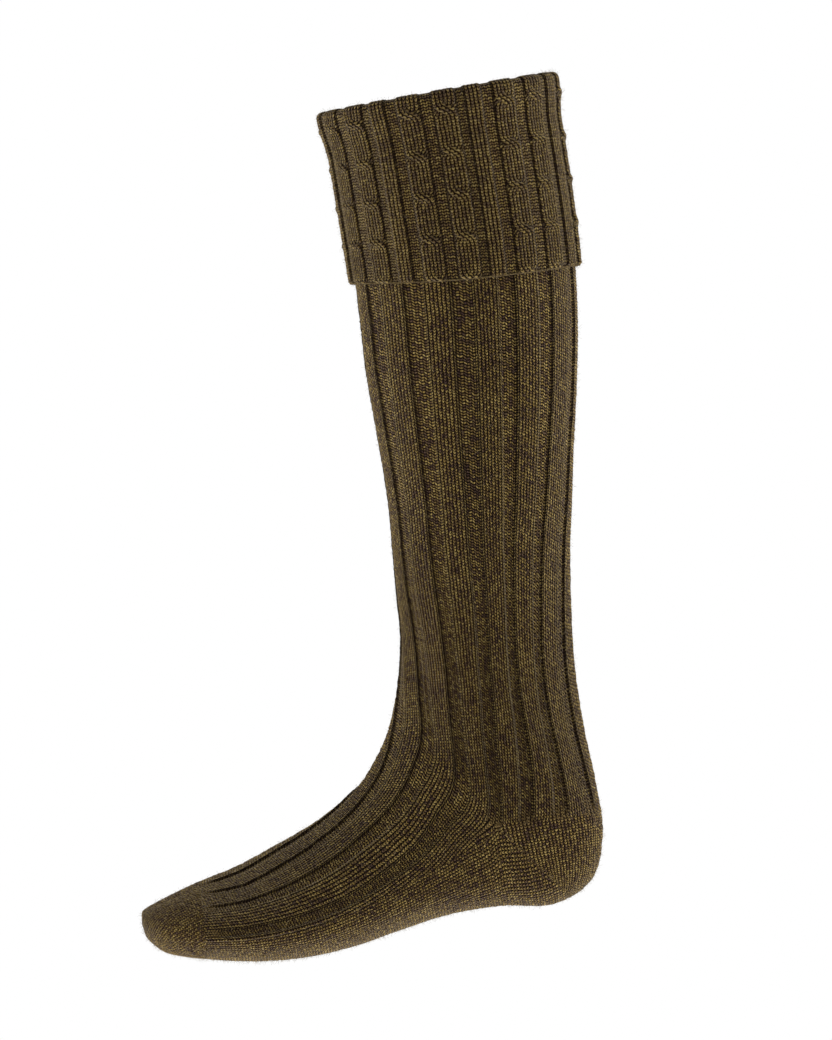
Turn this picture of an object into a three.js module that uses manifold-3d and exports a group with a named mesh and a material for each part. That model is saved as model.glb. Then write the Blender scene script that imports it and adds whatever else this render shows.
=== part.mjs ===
// A knee-high ribbed wool sock with a turned-over cable cuff, in the shape it has on a leg.
// Millimetres, +Z up the leg, toes towards -X, the wearer's left (outer) side towards -Y.
import * as THREE from 'three';
import { mergeVertices } from 'three/addons/utils/BufferGeometryUtils.js';
import Module from 'manifold-3d';

const wasm = await Module();
wasm.setup();

// Driving dimensions
const FOOT_LENGTH = 268; // toe tip to heel back, outside
const FOOT_WIDTH = 95; // across the ball, outside
const ANKLE_HEIGHT = 190; // lowest point of the sole to the narrowest part of the ankle, in front
const LEG_TOP = 466.5; // lowest point of the sole to the leg's upper edge, inside the fold
const CALF_DEPTH = 127; // front to back under the cuff, outside
const CALF_WIDTH = 109; // side to side under the cuff, outside
const CALF_LEAN = 26; // how far the calf's centre lies behind the ankle's
const WALL = 3.0; // knitted wall, over the ribs
const RIB_COUNT = 14; // knit ribs round the leg
const RIB_WIDTH = 12.8; // one knit rib, seven stitches
const RIB_DEPTH = 1.2; // purl groove below the ribs
const TOE_LENGTH = 33; // plain toe cap, on the centre line
const CUFF_FRONT = 98; // fold to hem down the shin
const CUFF_BACK = 111; // fold to hem down the calf
const CUFF_WALL = 2.0; // cuff, in its purl grooves
const CUFF_RELIEF = 1.2; // cables and ribs above those grooves
const CUFF_REPEATS = 7; // groups of one narrow rib and two cables
const CUFF_TURN = 0.32; // how far the cuff's columns stand ahead of the leg's ribs, in ribs
const CABLE_PITCH = 24; // one cable crossing to the next
const SEAM_GAP = 0.3; // between pieces that meet edge to edge
const CUFF_CLEARANCE = 0.5; // between the leg and the cuff folded over it

// Rows of the foot, from the toe tip to the ankle. Each is a plane cut through a point on the
// upper outline (topX, topZ) and one on the lower outline (lowX, lowZ): x as shares of FOOT_LENGTH,
// z of ANKLE_HEIGHT. half is the half width as a share of FOOT_WIDTH, wide the place of the widest
// point from top to bottom, topRound and lowRound the roundness above and below it (2 is an
// ellipse), lean the top's shift to the inner side as a share of FOOT_WIDTH, line the place of the
// line between instep and sole, from top to bottom, and front and back the ribs from it to the top
// and to the bottom, on the outer side.
const FOOT_FIELDS = [
  'topX', 'topZ', 'lowX', 'lowZ', 'half', 'wide', 'topRound', 'lowRound', 'lean', 'line', 'front', 'back',
];
const FOOT_ROWS = [
  [0.0015, 0.205, 0.0015, 0.163, 0.06, 0.50, 2.0, 2.0, 0.03, 0.72, 4.40, 3.5],
  [0.0075, 0.222, 0.0075, 0.133, 0.16, 0.52, 1.9, 2.1, 0.04, 0.72, 4.40, 3.5],
  [0.037, 0.238, 0.037, 0.089, 0.29, 0.56, 1.8, 2.2, 0.06, 0.74, 4.40, 3.5],
  [0.075, 0.255, 0.075, 0.066, 0.375, 0.60, 1.7, 2.3, 0.07, 0.75, 4.40, 3.5],
  [0.127, 0.275, 0.127, 0.045, 0.44, 0.65, 1.6, 2.4, 0.09, 0.76, 4.40, 3.5],
  [0.216, 0.302, 0.224, 0.015, 0.49, 0.70, 1.55, 2.5, 0.10, 0.76, 4.42, 3.5],
  [0.306, 0.344, 0.328, 0.001, 0.50, 0.71, 1.5, 2.5, 0.11, 0.755, 4.45, 3.5],
  [0.396, 0.391, 0.433, 0.008, 0.46, 0.71, 1.5, 2.5, 0.11, 0.75, 4.35, 3.5],
  [0.470, 0.448, 0.534, 0.031, 0.415, 0.70, 1.55, 2.5, 0.10, 0.74, 4.15, 3.5],
  [0.534, 0.525, 0.642, 0.052, 0.385, 0.68, 1.6, 2.5, 0.08, 0.72, 3.90, 3.5],
  [0.578, 0.608, 0.754, 0.051, 0.37, 0.64, 1.7, 2.4, 0.06, 0.68, 3.60, 3.5],
  [0.608, 0.700, 0.866, 0.029, 0.36, 0.59, 1.8, 2.4, 0.04, 0.62, 3.35, 3.5],
  [0.625, 0.774, 0.955, 0.082, 0.355, 0.52, 1.9, 2.4, 0.03, 0.49, 3.20, 3.6],
  [0.636, 0.837, 0.994, 0.211, 0.345, 0.45, 1.9, 2.3, 0.03, 0.44, 3.15, 3.7],
  [0.644, 0.895, 0.9985, 0.358, 0.335, 0.40, 2.0, 2.1, 0.03, 0.445, 3.15, 3.8],
  [0.648, 0.947, 0.9945, 0.516, 0.33, 0.38, 2.0, 1.9, 0.03, 0.46, 3.15, 3.85],
  [0.650, 1.000, 0.996, 0.684, 0.335, 0.38, 2.0, 1.8, 0.03, 0.48, 3.15, 3.85],
];
// Rows of the leg, from the ankle up. height is the share of the way from ANKLE_HEIGHT to LEG_TOP
// at the back, dip how much lower the back is than the front as a share of ANKLE_HEIGHT, shift the
// centre's share of CALF_LEAN, depth and half shares of CALF_DEPTH and CALF_WIDTH. The others are
// as above.
const LEG_FIELDS = [
  'height', 'dip', 'shift', 'depth', 'half', 'wide', 'topRound', 'lowRound', 'lean', 'line', 'front', 'back',
];
const LEG_ROWS = [
  [-0.110, 0.211, 0.07, 0.746, 0.31, 0.40, 2.0, 1.8, 0.03, 0.485, 3.12, 3.85],
  [0.036, 0.105, 0.22, 0.780, 0.35, 0.44, 2.0, 1.85, 0.03, 0.475, 3.10, 3.8],
  [0.146, 0.053, 0.38, 0.816, 0.385, 0.47, 2.0, 1.9, 0.03, 0.465, 3.08, 3.75],
  [0.234, 0.032, 0.49, 0.850, 0.413, 0.49, 2.0, 1.95, 0.03, 0.464, 3.06, 3.72],
  [0.358, 0.011, 0.64, 0.911, 0.445, 0.51, 2.0, 2.0, 0.03, 0.467, 3.05, 3.7],
  [0.474, 0.0, 0.765, 0.962, 0.468, 0.52, 2.0, 2.0, 0.03, 0.474, 3.05, 3.7],
  [0.584, 0.0, 0.886, 0.983, 0.482, 0.52, 2.0, 2.0, 0.03, 0.479, 3.05, 3.7],
  [0.693, 0.0, 0.96, 0.992, 0.490, 0.52, 2.0, 2.0, 0.03, 0.48, 3.05, 3.7],
  [0.876, 0.0, 1.0, 1.0, 0.496, 0.51, 2.0, 2.0, 0.03, 0.48, 3.05, 3.7],
  [1.0, 0.0, 1.0, 1.0, 0.5, 0.51, 2.0, 2.0, 0.03, 0.48, 3.05, 3.7],
];

// The heel's corner on each side, where the leg, the heel and the foot meet, and the places where
// the three borders from it leave the outline: x as shares of FOOT_LENGTH, z of ANKLE_HEIGHT.
const HEEL_CORNER = { x: 0.769, z: 0.295 };
const HEEL_TOP = { x: 1.0, z: 0.274 };
const HEEL_BOTTOM = { x: 0.912, z: 0.026 };
const ANKLE_BEND = { x: 0.610, z: 0.705 };
const TOE_TILT = 4; // degrees that the toe's edge leans back at the top

const GROOVE_FLOOR = 0.4; // a groove's flat floor, as a share of its width between the ribs' tops
const RIB_SHARE = { least: 0.5, most: 0.8 }; // a knit rib's share of its pitch where the knit stretches
const TOE_FADE = 1.5; // the ribs are full this many toe lengths from the tip
const HEEL_FADE = 1.2; // and this many heel heights above the sole

const FOLD_STEPS = 8; // facets of the cuff's fold
const BACK_STEPS = 4; // rings up the cuff's hidden side
const INNER_SIDES = 36; // facets round the inside
const ARC_SAMPLES = 90; // steps that measure one side of a row

// Names a table's columns and turns its shares into millimetres
function namedRow(fields, values) {
  return Object.fromEntries(fields.map((field, i) => [field, values[i]]));
}

function footRow(values) {
  const r = namedRow(FOOT_FIELDS, values);
  return {
    ...r,
    topX: r.topX * FOOT_LENGTH,
    lowX: r.lowX * FOOT_LENGTH,
    topZ: r.topZ * ANKLE_HEIGHT,
    lowZ: r.lowZ * ANKLE_HEIGHT,
    half: r.half * FOOT_WIDTH,
    lean: r.lean * FOOT_WIDTH,
  };
}

function legRow(values) {
  const r = namedRow(LEG_FIELDS, values);
  const ankle = namedRow(FOOT_FIELDS, FOOT_ROWS[FOOT_ROWS.length - 1]);
  const middle = ((ankle.topX + ankle.lowX) / 2) * FOOT_LENGTH + r.shift * CALF_LEAN;
  const depth = r.depth * CALF_DEPTH;
  const lowZ = ANKLE_HEIGHT + r.height * (LEG_TOP - ANKLE_HEIGHT);
  return {
    ...r,
    topX: middle - depth / 2,
    lowX: middle + depth / 2,
    topZ: lowZ + r.dip * ANKLE_HEIGHT,
    lowZ,
    half: r.half * CALF_WIDTH,
    lean: r.lean * CALF_WIDTH,
  };
}

const ROWS = [...FOOT_ROWS.map(footRow), ...LEG_ROWS.map(legRow)];
const FIELDS = [
  'topX', 'topZ', 'lowX', 'lowZ', 'half', 'wide', 'topRound', 'lowRound', 'lean', 'line', 'front', 'back',
];

// A smooth row at a place u along the table
function rowAt(u) {
  const last = ROWS.length - 1;
  const i = Math.min(Math.max(Math.floor(u), 0), last - 1);
  const t = u - i;
  const [a, b, c, d] = [i - 1, i, i + 1, i + 2].map((k) => ROWS[Math.min(Math.max(k, 0), last)]);
  const blend = (field) => {
    const slopeB = (c[field] - a[field]) / 2;
    const slopeC = (d[field] - b[field]) / 2;
    const jump = b[field] - c[field];
    return b[field] + t * (slopeB + t * (-3 * jump - 2 * slopeB - slopeC + t * (2 * jump + slopeB + slopeC)));
  };
  return Object.fromEntries(FIELDS.map((field) => [field, blend(field)]));
}

// The row moved inwards by a distance, negative to move it outwards
function insetRow(row, distance) {
  const length = Math.hypot(row.lowX - row.topX, row.lowZ - row.topZ);
  const alongX = ((row.lowX - row.topX) / length) * distance;
  const alongZ = ((row.lowZ - row.topZ) / length) * distance;
  return {
    ...row,
    topX: row.topX + alongX,
    topZ: row.topZ + alongZ,
    lowX: row.lowX - alongX,
    lowZ: row.lowZ - alongZ,
    half: row.half - distance,
  };
}

// One side of a row as points with the distance run from its top. side is -1 outer, 1 inner.
function sideCurve(row, side) {
  const points = [];
  let run = 0;
  for (let i = 0; i <= ARC_SAMPLES; i++) {
    const angle = (Math.PI * i) / ARC_SAMPLES;
    const cos = Math.abs(Math.cos(angle));
    const sin = Math.sin(angle);
    const upper = i * 2 <= ARC_SAMPLES;
    const power = 2 / (upper ? row.topRound : row.lowRound);
    const down = upper ? row.wide * (1 - cos ** power) : row.wide + (1 - row.wide) * cos ** power;
    const lean = upper ? row.lean * (1 - sin ** power) : 0;
    const y = side * row.half * sin ** power + lean;
    const x = row.topX + (row.lowX - row.topX) * down;
    const z = row.topZ + (row.lowZ - row.topZ) * down;
    const before = points[i - 1];
    run += before ? Math.hypot(x - before.x, y - before.y, z - before.z) : 0;
    points.push({ x, y, z, down, run });
  }
  return points;
}

// The point of a side where a measure that grows along it reaches a value
function pointWhere(points, measure, value) {
  let i = 1;
  while (i < points.length - 1 && points[i][measure] < value) i++;
  const [a, b] = [points[i - 1], points[i]];
  const t = Math.min(Math.max((value - a[measure]) / (b[measure] - a[measure] || 1), 0), 1);
  return {
    x: a.x + (b.x - a.x) * t,
    y: a.y + (b.y - a.y) * t,
    z: a.z + (b.z - a.z) * t,
    run: a.run + (b.run - a.run) * t,
  };
}

// Ribs are counted from the instep's middle rib at 0: 3.5 and -3.5 are the heel's corners
const HEEL_LINE = RIB_COUNT / 4;

// A row's two sides, with where the heel line crosses them and how long one rib is on each
function measuredRow(row) {
  const sides = [-1, 1].map((side) => {
    const points = sideCurve(row, side);
    const total = points[points.length - 1].run;
    const line = pointWhere(points, 'down', row.line).run;
    const front = side < 0 ? row.front : 2 * HEEL_LINE - row.front;
    const back = side < 0 ? row.back : 2 * HEEL_LINE - row.back;
    return { side, points, total, line, front, back };
  });
  return { row, sides };
}

// The point at rib number q, from -3.5 over the instep to 10.5 round the back
function pointAt(measured, q) {
  const [outer, inner] = measured.sides;
  const top = HEEL_LINE - measured.row.front;
  const bottom = HEEL_LINE + measured.row.back;
  if (q < top) {
    return pointWhere(inner.points, 'run', (inner.line * (top - q)) / inner.front);
  }
  if (q <= HEEL_LINE) {
    return pointWhere(outer.points, 'run', (outer.line * (q - top)) / outer.front);
  }
  if (q <= bottom) {
    const past = ((outer.total - outer.line) * (q - HEEL_LINE)) / outer.back;
    return pointWhere(outer.points, 'run', outer.line + past);
  }
  const past = ((inner.total - inner.line) * (3 * HEEL_LINE - q)) / inner.back;
  return pointWhere(inner.points, 'run', inner.line + past);
}

// Length of one rib and its groove at rib number q
function pitchAt(measured, q) {
  const [outer, inner] = measured.sides;
  const side = q < HEEL_LINE - measured.row.front || q > HEEL_LINE + measured.row.back ? inner : outer;
  const above = q <= HEEL_LINE;
  return above ? side.line / side.front : (side.total - side.line) / side.back;
}

const smooth = (low, high, value) => THREE.MathUtils.smoothstep(value, low, high);

// Share of the rib relief at a point: none on the toe, the heel and the sole
function reliefShare(q, x, z) {
  const instep = q < HEEL_LINE;
  const heelTop = HEEL_TOP.z * ANKLE_HEIGHT;
  const pastToe = smooth(TOE_LENGTH, TOE_LENGTH * TOE_FADE, x);
  return instep ? pastToe : smooth(heelTop, heelTop * HEEL_FADE, z);
}

// Rib numbers of a row's corners: five for each rib, at its edges, its middle and the groove floor
function ribCorners(measured) {
  const corners = [];
  for (let rib = 0; rib < RIB_COUNT; rib++) {
    const groove = rib - HEEL_LINE;
    const ribShare = RIB_WIDTH / pitchAt(measured, groove);
    const half = (1 - THREE.MathUtils.clamp(ribShare, RIB_SHARE.least, RIB_SHARE.most)) / 2;
    corners.push(
      { q: groove - half, depth: 0 },
      { q: groove - half * GROOVE_FLOOR, depth: 1 },
      { q: groove + half * GROOVE_FLOOR, depth: 1 },
      { q: groove + half, depth: 0 },
      { q: groove + 0.5, depth: 0 },
    );
  }
  return corners;
}

// A ring round the ribbed outside
function ribbedRing(row) {
  const measured = measuredRow(row);
  const sunk = measuredRow(insetRow(row, RIB_DEPTH));
  return ribCorners(measured).map(({ q, depth }) => {
    const round = q < -HEEL_LINE ? q + RIB_COUNT : q;
    const high = pointAt(measured, round);
    const share = depth * reliefShare(round, high.x, high.z);
    if (share === 0) return new THREE.Vector3(high.x, high.y, high.z);
    const low = pointAt(sunk, round);
    return new THREE.Vector3(high.x, high.y, high.z).lerp(new THREE.Vector3(low.x, low.y, low.z), share);
  });
}

// A plain ring with evenly spaced sides
function plainRing(row, sides) {
  const measured = measuredRow(row);
  return Array.from({ length: sides }, (_, i) => {
    const p = pointAt(measured, -HEEL_LINE + (RIB_COUNT * i) / sides);
    return new THREE.Vector3(p.x, p.y, p.z);
  });
}

const middleOf = (ring) =>
  ring.reduce((sum, p) => sum.add(p), new THREE.Vector3()).divideScalar(ring.length);

// Triangles between rings. loop joins the last ring to the first, otherwise both ends are capped.
function skinOf(rings, loop) {
  const count = rings[0].length;
  const positions = rings.flatMap((ring) => ring.flatMap((p) => [p.x, p.y, p.z]));
  const triangles = [];
  const bands = loop ? rings.length : rings.length - 1;
  for (let r = 0; r < bands; r++) {
    const [a, b] = [r * count, ((r + 1) % rings.length) * count];
    for (let i = 0; i < count; i++) {
      const j = (i + 1) % count;
      triangles.push(a + i, b + i, b + j, a + i, b + j, a + j);
    }
  }
  if (!loop) {
    const ends = [rings[0], rings[rings.length - 1]];
    ends.forEach((ring, end) => {
      const hub = positions.length / 3;
      const first = end * (rings.length - 1) * count;
      positions.push(...middleOf(ring).toArray());
      for (let i = 0; i < count; i++) {
        const [here, next] = [first + i, first + ((i + 1) % count)];
        triangles.push(hub, ...(end ? [next, here] : [here, next]));
      }
    });
  }
  const geometry = new THREE.BufferGeometry();
  geometry.setAttribute('position', new THREE.Float32BufferAttribute(positions, 3));
  geometry.setIndex(triangles);
  return geometry;
}

function signedVolume(geometry) {
  const index = geometry.index.array;
  const at = (k) => new THREE.Vector3().fromBufferAttribute(geometry.attributes.position, index[k]);
  let sum = 0;
  for (let i = 0; i < index.length; i += 3) sum += at(i).dot(at(i + 1).cross(at(i + 2)));
  return sum / 6;
}

// A closed geometry as a solid with its faces pointing out
function solidOf(geometry) {
  const bare = geometry.clone();
  bare.deleteAttribute('normal');
  bare.deleteAttribute('uv');
  const merged = mergeVertices(bare, 1e-4);
  if (signedVolume(merged) < 0) {
    const index = merged.index.array;
    for (let i = 0; i < index.length; i += 3) [index[i], index[i + 1]] = [index[i + 1], index[i]];
  }
  return new wasm.Manifold(
    new wasm.Mesh({
      numProp: 3,
      vertProperties: new Float32Array(merged.attributes.position.array),
      triVerts: new Uint32Array(merged.index.array),
    }),
  );
}

function geometryOf(solid) {
  const mesh = solid.getMesh();
  const geometry = new THREE.BufferGeometry();
  geometry.setAttribute('position', new THREE.BufferAttribute(new Float32Array(mesh.vertProperties), 3));
  geometry.setIndex(new THREE.BufferAttribute(new Uint32Array(mesh.triVerts), 1));
  geometry.computeVertexNormals();
  return geometry;
}

// Places along the table, a number of steps for each gap between two rows
function placesAlong(first, last, steps) {
  const places = [];
  for (let i = first; i < last; i++) {
    for (let k = 0; k < steps; k++) places.push(i + k / steps);
  }
  return [...places, last];
}

const LAST_ROW = ROWS.length - 1;
const HEEL_ROW = 13; // the row through the heel's back
const OUTER_PLACES = [
  ...placesAlong(0, 9, 1),
  ...placesAlong(10, 17, 2),
  ...placesAlong(18, LAST_ROW, 1),
];
const INNER_PLACES = [...placesAlong(1, LAST_ROW, 1)];

// The knitted tube from the toe to the top of the leg, open at the mouth
function knittedTube() {
  const outside = solidOf(skinOf(OUTER_PLACES.map((u) => ribbedRing(rowAt(u))), false));
  const rings = INNER_PLACES.map((u) => plainRing(insetRow(rowAt(u), WALL), INNER_SIDES));
  rings[0].forEach((p) => p.setX(p.x + WALL));
  const mouth = rings[rings.length - 1].map((p) => p.clone().setZ(p.z + WALL));
  const inside = solidOf(skinOf([...rings, mouth], false));
  return outside.subtract(inside);
}

// Spread of the cutting prisms past the sock
const REACH = 2 * (FOOT_LENGTH + LEG_TOP);

const inMillimetres = ({ x, z }) => new THREE.Vector2(x * FOOT_LENGTH, z * ANKLE_HEIGHT);

// A prism across the whole width whose outline is given in X and Z
function prism(outline) {
  const shape = new THREE.Shape(outline);
  const geometry = new THREE.ExtrudeGeometry(shape, { depth: REACH, bevelEnabled: false });
  geometry.rotateX(Math.PI / 2);
  geometry.translate(0, REACH / 2, 0);
  return solidOf(geometry);
}

// The kerf along a border that runs from one point through another
function kerf(from, through) {
  const along = through.clone().sub(from).normalize();
  const across = new THREE.Vector2(-along.y, along.x).multiplyScalar(SEAM_GAP / 2);
  const start = from.clone().addScaledVector(along, -SEAM_GAP / 2);
  const end = from.clone().addScaledVector(along, REACH);
  return prism([
    start.clone().sub(across),
    end.clone().sub(across),
    end.clone().add(across),
    start.clone().add(across),
  ]);
}

function farPoint(from, through) {
  return from.clone().addScaledVector(through.clone().sub(from).normalize(), REACH);
}

// The tube's four zones, parted along the lines where the real knitting changes
function tubeZones() {
  const corner = inMillimetres(HEEL_CORNER);
  const [bend, heelTop, heelBottom] = [ANKLE_BEND, HEEL_TOP, HEEL_BOTTOM].map(inMillimetres);
  const [upFront, back, down] = [bend, heelTop, heelBottom].map((p) => farPoint(corner, p));
  const lean = Math.tan(THREE.MathUtils.degToRad(TOE_TILT)) * REACH;
  const toeHigh = new THREE.Vector2(TOE_LENGTH + lean, REACH);
  const toeLow = new THREE.Vector2(TOE_LENGTH - lean, -REACH);
  const borders = [bend, heelTop, heelBottom].map((p) => kerf(corner, p));
  borders.push(kerf(toeLow, toeHigh));
  const cut = (zone) => borders.reduce((solid, border) => solid.subtract(border), zone);
  const tube = knittedTube();
  const leg = prism([corner, back, new THREE.Vector2(REACH, REACH), upFront]);
  const heel = prism([corner, down, new THREE.Vector2(REACH, -REACH), back]);
  const front = prism([corner, upFront, new THREE.Vector2(-REACH, 0), down]);
  const toeSide = prism([toeHigh, new THREE.Vector2(-REACH, REACH), new THREE.Vector2(-REACH, -REACH), toeLow]);
  return {
    leg: cut(tube.intersect(leg)),
    heel: cut(tube.intersect(heel)),
    foot: cut(tube.intersect(front).subtract(toeSide)),
    toe: cut(tube.intersect(front).intersect(toeSide)),
  };
}

// Corners round the cuff: for each repeat a narrow rib and two cables, parted by purl grooves.
// at and width are shares of a repeat, and a cable's width narrows at its crossings.
const CUFF_COLUMNS = [
  { at: 0.0, width: 0.13, cable: false },
  { at: 0.33, width: 0.22, cable: true },
  { at: 0.70, width: 0.22, cable: true },
];
const CROSSING_SHARE = 0.62; // a cable's width at a crossing, as a share of its full width
const COLUMN_SLOPE = 0.05; // width of a column's sloping side, as a share of a repeat

// How far down the cuff's outside reaches at a place along X
function hemHeight(x) {
  const top = rowAt(LAST_ROW);
  const t = (x - top.topX) / (top.lowX - top.topX);
  return FOLD_TOP - (CUFF_FRONT + (CUFF_BACK - CUFF_FRONT) * t);
}

const CUFF_OUTSET = CUFF_CLEARANCE + CUFF_WALL; // leg's outside to the cuff's groove floor
const FOLD_TOP = LEG_TOP + SEAM_GAP + (WALL + CUFF_OUTSET) / 2 + CUFF_RELIEF / 2;

const ROW_STEP = 0.02; // step of the search for a height along the table

// The leg's outline at a height in the straight part under the cuff
function legRowAtHeight(z) {
  let u = LAST_ROW;
  while (u > HEEL_ROW && rowAt(u).lowZ > z) u -= ROW_STEP;
  return { ...rowAt(u), topZ: z, lowZ: z };
}

// A ring of the cuff: down is the share of the way from the fold to the hem
function cuffRing(down, outset, relief, narrow) {
  const topRow = legRowAtHeight(LEG_TOP);
  const corners = [];
  for (let k = 0; k < CUFF_REPEATS; k++) {
    CUFF_COLUMNS.forEach(({ at, width, cable }) => {
      const half = (width / 2) * (cable && narrow ? CROSSING_SHARE : 1);
      corners.push([k + at - half, 1], [k + at + half, 1], [k + at + width / 2 + COLUMN_SLOPE, 0]);
    });
  }
  const perRepeat = RIB_COUNT / CUFF_REPEATS;
  return corners.map(([repeat, raised]) => {
    let q = repeat * perRepeat - HEEL_LINE - CUFF_TURN;
    if (q < -HEEL_LINE) q += RIB_COUNT;
    const over = pointAt(measuredCuffRow(topRow, 0), q);
    const z = LEG_TOP + (hemHeight(over.x) - LEG_TOP) * down;
    const row = legRowAtHeight(z);
    const p = pointAt(measuredCuffRow(row, outset + raised * relief), q);
    return new THREE.Vector3(p.x, p.y, z);
  });
}

const cuffRows = new Map();
function measuredCuffRow(row, outset) {
  const key = `${row.topZ.toFixed(1)} ${outset.toFixed(2)}`;
  if (!cuffRows.has(key)) cuffRows.set(key, measuredRow(insetRow(row, -outset)));
  return cuffRows.get(key);
}

// The cuff: out of the mouth, over the fold and down outside the leg
function foldedCuff() {
  const crossings = Math.round((CUFF_FRONT + CUFF_BACK) / 2 / CABLE_PITCH);
  const rings = [];
  // up the inside from the leg's edge
  const lip = LEG_TOP + SEAM_GAP;
  const span = WALL + CUFF_OUTSET;
  const level = (outset, z, relief) =>
    cuffRing(0, outset, relief, false).map((p) => p.setZ(z));
  rings.push(level(-WALL, lip, 0));
  for (let i = 1; i < FOLD_STEPS; i++) {
    const angle = (Math.PI * i) / FOLD_STEPS;
    const outset = -WALL + (span * (1 - Math.cos(angle))) / 2;
    const rise = (FOLD_TOP - lip) * Math.sin(angle);
    rings.push(level(outset, lip + rise, CUFF_RELIEF * smooth(0.5, 1, i / FOLD_STEPS)));
  }
  // down the outside, one ring at each crossing and one between
  const halves = crossings * 2;
  for (let i = 0; i <= halves; i++) {
    rings.push(cuffRing(i / halves, CUFF_OUTSET, CUFF_RELIEF, i % 2 === 1));
  }
  // up the back of the cuff, close to the leg
  for (let i = BACK_STEPS; i > 0; i--) {
    rings.push(cuffRing(i / BACK_STEPS, CUFF_CLEARANCE, 0, false));
  }
  rings.push(level(CUFF_CLEARANCE, lip, 0));
  return solidOf(skinOf(rings, true));
}

const WOOL = { color: 0x4a3d1e, roughness: 0.95, metalness: 0 };

function meshOf(name, solid) {
  const mesh = new THREE.Mesh(geometryOf(solid), new THREE.MeshStandardMaterial(WOOL));
  mesh.name = name;
  return mesh;
}

// The origin is where the wearer's heel sits, on the sole's inner face
function heelSeat() {
  const row = insetRow(ROWS[HEEL_ROW - 2], WALL);
  return new THREE.Vector3(row.lowX, 0, row.lowZ);
}

const sock = new THREE.Group();
const zones = tubeZones();
sock.add(
  meshOf('cuff', foldedCuff()),
  meshOf('leg', zones.leg),
  meshOf('heel', zones.heel),
  meshOf('foot', zones.foot),
  meshOf('toe', zones.toe),
);
sock.position.copy(heelSeat().negate());

export default sock;
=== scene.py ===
import math
from collections import namedtuple

import bmesh
import bpy
import numpy as np
from mathutils import Matrix, Vector


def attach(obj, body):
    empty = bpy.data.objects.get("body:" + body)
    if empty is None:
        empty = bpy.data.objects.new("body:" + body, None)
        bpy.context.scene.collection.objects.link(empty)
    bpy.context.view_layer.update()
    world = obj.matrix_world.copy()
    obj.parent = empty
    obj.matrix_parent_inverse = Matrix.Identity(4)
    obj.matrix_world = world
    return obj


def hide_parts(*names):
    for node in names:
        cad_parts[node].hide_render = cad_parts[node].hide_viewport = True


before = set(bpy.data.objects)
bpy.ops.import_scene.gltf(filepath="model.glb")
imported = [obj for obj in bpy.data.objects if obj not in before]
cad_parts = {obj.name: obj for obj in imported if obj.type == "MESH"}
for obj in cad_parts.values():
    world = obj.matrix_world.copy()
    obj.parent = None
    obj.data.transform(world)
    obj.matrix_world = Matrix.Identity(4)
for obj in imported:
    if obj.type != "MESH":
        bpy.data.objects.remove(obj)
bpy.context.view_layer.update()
scene = bpy.context.scene

# Sizes, in millimetres
MM = 0.001
FOOT_LENGTH = 268.0
FOOT_WIDTH = 95.0
ANKLE_HEIGHT = 190.0
LEG_TOP = 466.5
CALF_DEPTH = 127.0
CALF_WIDTH = 109.0
CALF_LEAN = 26.0
WALL = 3.0
TOE_LENGTH = 33.0
TOE_TILT = math.radians(4)
TIP_ROUNDING = 0.6
HEEL_SEAT_ROW = 11

# The tube's knit
RIB_COUNT = 14
RIB_WALES = 7
PURL_WALES = 3
WALES_PER_RIB = RIB_WALES + PURL_WALES
HALF_PURL = PURL_WALES / 2
HEEL_LINE = RIB_COUNT / 4
SOLE_MIDDLE = RIB_COUNT / 2
GROOVE_WIDTH = 11.0
WIDEST_PITCH = 26.0
GROOVE_CLOSING = 1.6  # how fast grooves close where the ribs lie nearer together
GROOVE_SHARE = (0.16, 0.44)
GROOVE_FLOOR = 0.86
GROOVE_DEPTH = 1.2
WALE_RELIEF = 0.4
FULL_RELIEF_WALE = 1.6
UNEVENNESS = 0.1
UNEVEN_COLUMN = 0.6  # columns nearer together than this are less uneven
COURSE = 1.65
ROW = 1.2
HIDDEN_ROW = 6.0
HIDDEN_ABOVE_HEM = 8
SMOOTH_ABOVE_HEM = 10
INNER_COLUMNS = 56
INNER_ROW = 5.0
SOLE_WALES = 29
TOE_WALE = 2.2
HEEL_WALE = 2.2
HEEL_AXIS_X = 236.0
HEEL_CROWDING = 0.45  # how much closer the heel's courses lie at the sole

# The cuff, and its columns in one repeat as shares of it: a narrow rib, then two cables
CUFF_FRONT = 98.0
CUFF_BACK = 110.0
HEM_BEND = 2.2
CUFF_CLEARANCE = 0.5
CUFF_WALL = 2.0
CUFF_RELIEF = 1.3
CUFF_REPEATS = 7
CUFF_TURN = 0.795
CUFF_FLARE = 2.6
FLARE_FROM = 442.0
CUFF_RIB = 0.165
CUFF_RIB_WALES = 4
CUFF_PURL_WALES = 2
CUFF_SLOPE = 0.014
CUFF_ROW = 1.2
CUFF_COURSE = 1.7
CUFF_WALE = 2.2
FOLD_ROWS = 16
BACK_ROWS = 10
HEM_EDGE = ((0.72, 0.35), (0.38, 0.45), (0.12, 0.2))  # how far out in the wall, and how far below the hem
HEM_TUCK = 0.6
HEM_TUCK_LENGTH = 1.8
CABLES = ((0.33, 0.238), (0.70, 0.238))
CABLE_PITCH = 24.5
CABLE_FIRST = 13.5
CROSSING_LENGTH = 8.5
CROSSING_LIFT = 0.9
CROSSING_DROP = 0.25
STRAND_WALES = 3
STRAND_PARTING = (0.3, 0.6)  # depth and width of the line between a cable's strands
SEAM_GAP = 0.3
FOLD_TOP = LEG_TOP + SEAM_GAP + (WALL + CUFF_CLEARANCE + CUFF_WALL + CUFF_RELIEF) / 2

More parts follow.
